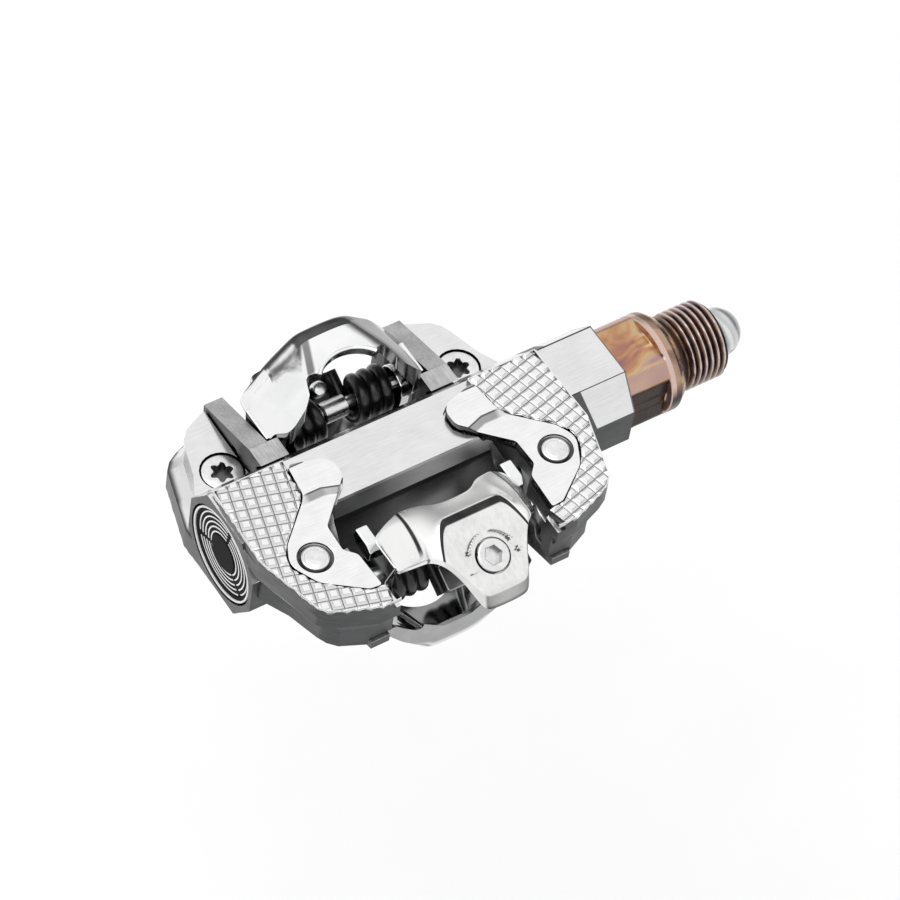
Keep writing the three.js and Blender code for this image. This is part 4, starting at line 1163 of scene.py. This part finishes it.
# ---- assembly ----
def build_face(prefix):
    lower = prefix == "lower"
    build_claw(prefix, lower)
    build_hook(prefix, lower)
    claw_body = prefix + "_claw"
    for hand, side in (("right", 1), ("left", -1)):
        knurl_piece(f"{prefix}_{hand}_knurl", side, lower)
        wear_plate(f"{prefix}_{hand}_plate", side, lower, f"{prefix}_{hand}_wear_plate")
        add_piece(f"{prefix}_{hand}_bolt", wing_screw(side), "pedal", "fastener", BOLT,
                  (f"{prefix}_{hand}_wing_screw",), lower)
        add_piece(f"{prefix}_{hand}_coil", tube(spring_path(side), 1.2, 16), claw_body, "spring_steel",
                  SPRING,
                  (f"{prefix}_{hand}_claw_spring",), lower)
        dress_cad(f"{prefix}_{hand}_side_carrier", BRUSHED, 0.25, 3)
    add_piece(f"{prefix}_preload_screw", tension_screw(), f"{prefix}_tension_screw", "fastener", BOLT,
              (f"{prefix}_tension_screw",), lower)
    add_piece(f"{prefix}_preload_nut", tension_nut(), f"{prefix}_tension_nut", "dark_steel", DARK_STEEL,
              (f"{prefix}_tension_nut",), lower, bevel=0.25)
    spacer = [(-2.3, 1.55), (-2.3, 1.8), (-2.15, 1.95), (2.15, 1.95), (2.3, 1.8), (2.3, 1.55)]
    add_piece(f"{prefix}_spacer", closed_round_x(spacer, 48, PIVOT_Y), "pedal", "fastener", BOLT,
              (f"{prefix}_pin_spacer",), lower)
    pin = [(-19.2, 0.02), (-19.2, 1.0), (-19.0, 1.2), (19.0, 1.2), (19.2, 1.0), (19.2, 0.02)]
    add_piece(f"{prefix}_pin", round_x(pin, 40, PIVOT_Y), "pedal", "fastener", BOLT,
              (f"{prefix}_pivot_pin",), lower)


def build_axis():
    dress_cad("pedal_body", BODY, 0.16, 2, 28)
    add_piece("pedal_shaft", spindle(), "spindle", "spindle_steel", HEAT, ("spindle",), angle=32)
    add_piece("signal_dome", dome(), "spindle", "dome_plastic", DOME, ("antenna_dome",), angle=50)
    add_piece("end_cap", cap_disc(), "pedal", "cap_plastic", CAP_BLACK, ("outboard_cap",), angle=40)
    for number, radius in enumerate(CAP_RINGS):
        add_piece(f"end_cap_ring_{number}", cap_ring(radius, 0.26), "pedal", "cap_plastic", CAP_LIGHT)
    rim = [(OUTBOARD_X + x, radius) for x, radius in ((0.1, 8.45), (0.02, 8.6), (0.1, 8.8), (1.5, 8.8),
                                                      (1.5, 8.45))]
    add_piece("end_cap_rim", closed_round_x(rim, 96), "pedal", "cap_plastic", CAP_LIGHT)
    for node, material in (("battery_cell", CELL), ("sensor_board", BOARD), ("lock_nut", DARK_STEEL),
                           ("outboard_ball_bearing", BEARING), ("needle_bearing", BEARING),
                           ("inboard_bush", BRONZE),
                           ("spindle_seal", RUBBER), ("cap_seal_ring", RUBBER)):
        dress_cad(node, material, 0.08, 2)


FLOOR_DROP = 120.0      # the pedal hangs on its crank, well above the floor


def build_floor():
    floor_z = cad_bounds[0][2] / MM - FLOOR_DROP
    rings = [[(radius * c - SHIFT_X, radius * s, floor_z) for c, s in circle(1, 64)]
             for radius in (20, 100, 200, 400, 800, 1600)]
    thing = new_object("floor", mesh_of(ring_stack(rings, True, False)))
    thing.data.materials.append(floor_paint())


def area_light(name, place, aim, size, power):
    data = bpy.data.lights.new(name, "AREA")
    data.shape = "RECTANGLE"
    data.size, data.size_y = size
    data.energy = power
    thing = bpy.data.objects.new(name, data)
    bpy.context.scene.collection.objects.link(thing)
    thing.location = place
    thing.rotation_euler = (Vector(aim) - Vector(place)).to_track_quat("-Z", "Y").to_euler()


def build_light():
    """A white studio, dimmer near the horizon towards +X and +Y, and one soft key light."""
    world = bpy.data.worlds.new("studio")
    bpy.context.scene.world = world
    world.use_nodes = True
    bpy.context.scene.view_settings.view_transform = "Standard"
    tree = world.node_tree
    sky = tree.nodes["Background"]
    spot = tree.nodes.new("ShaderNodeTexCoord")
    split = tree.nodes.new("ShaderNodeSeparateXYZ")

    def ramp(source, stops):
        made = tree.nodes.new("ShaderNodeValToRGB")
        fill_ramp(made.color_ramp, [(place, (value, value, value)) for place, value in stops])
        half = tree.nodes.new("ShaderNodeMath")
        half.operation = "MULTIPLY_ADD"
        half.inputs[1].default_value = half.inputs[2].default_value = 0.5
        tree.links.new(source, half.inputs[0])
        tree.links.new(half.outputs["Value"], made.inputs["Fac"])
        return made.outputs["Color"]

    tree.links.new(spot.outputs["Generated"], split.inputs["Vector"])
    dark_side = ramp(split.outputs["Z"],
                     [(0.0, 0.6), (0.5, 0.36), (0.60, 0.50), (0.70, 0.80), (0.80, 1.0), (1.0, 1.0)])
    bright_side = ramp(split.outputs["Z"], [(0.0, 0.8), (0.5, 0.95), (1.0, 1.0)])
    across = tree.nodes.new("ShaderNodeVectorMath")
    across.operation = "DOT_PRODUCT"
    across.inputs[1].default_value = (0.75, 0.66, 0.0)
    tree.links.new(spot.outputs["Generated"], across.inputs[0])
    side = ramp(across.outputs["Value"], [(0.0, 1.0), (0.55, 1.0), (0.75, 0.0)])
    blend = tree.nodes.new("ShaderNodeMix")
    blend.data_type = "RGBA"
    tree.links.new(side, blend.inputs[0])
    tree.links.new(dark_side, blend.inputs[6])
    tree.links.new(bright_side, blend.inputs[7])
    tree.links.new(blend.outputs[2], sky.inputs["Color"])
    sky.inputs["Strength"].default_value = 1.0
    area_light("key", (-0.4, 0.05, 1.1), (0, 0, 0), (1.2, 1.2), 4.5)


def build_camera():
    place = Vector((-324.147, -373.031, 648.798))     # millimetres
    aim = Vector((-5.814, 1.464, -2.001))
    roll = math.radians(10.0079)
    data = bpy.data.cameras.new("camera")
    data.sensor_width = 36.0
    data.lens = 191.7735
    data.clip_start, data.clip_end = 0.01, 20
    thing = bpy.data.objects.new("camera", data)
    bpy.context.scene.collection.objects.link(thing)
    turn = (aim - place).to_track_quat("-Z", "Y").to_matrix().to_4x4() @ Matrix.Rotation(roll, 4, "Z")
    thing.matrix_world = Matrix.Translation(place * MM) @ turn
    bpy.context.scene.camera = thing


build_axis()
build_face("upper")
build_face("lower")
build_floor()
build_light()
build_camera()
bpy.context.view_layer.update()
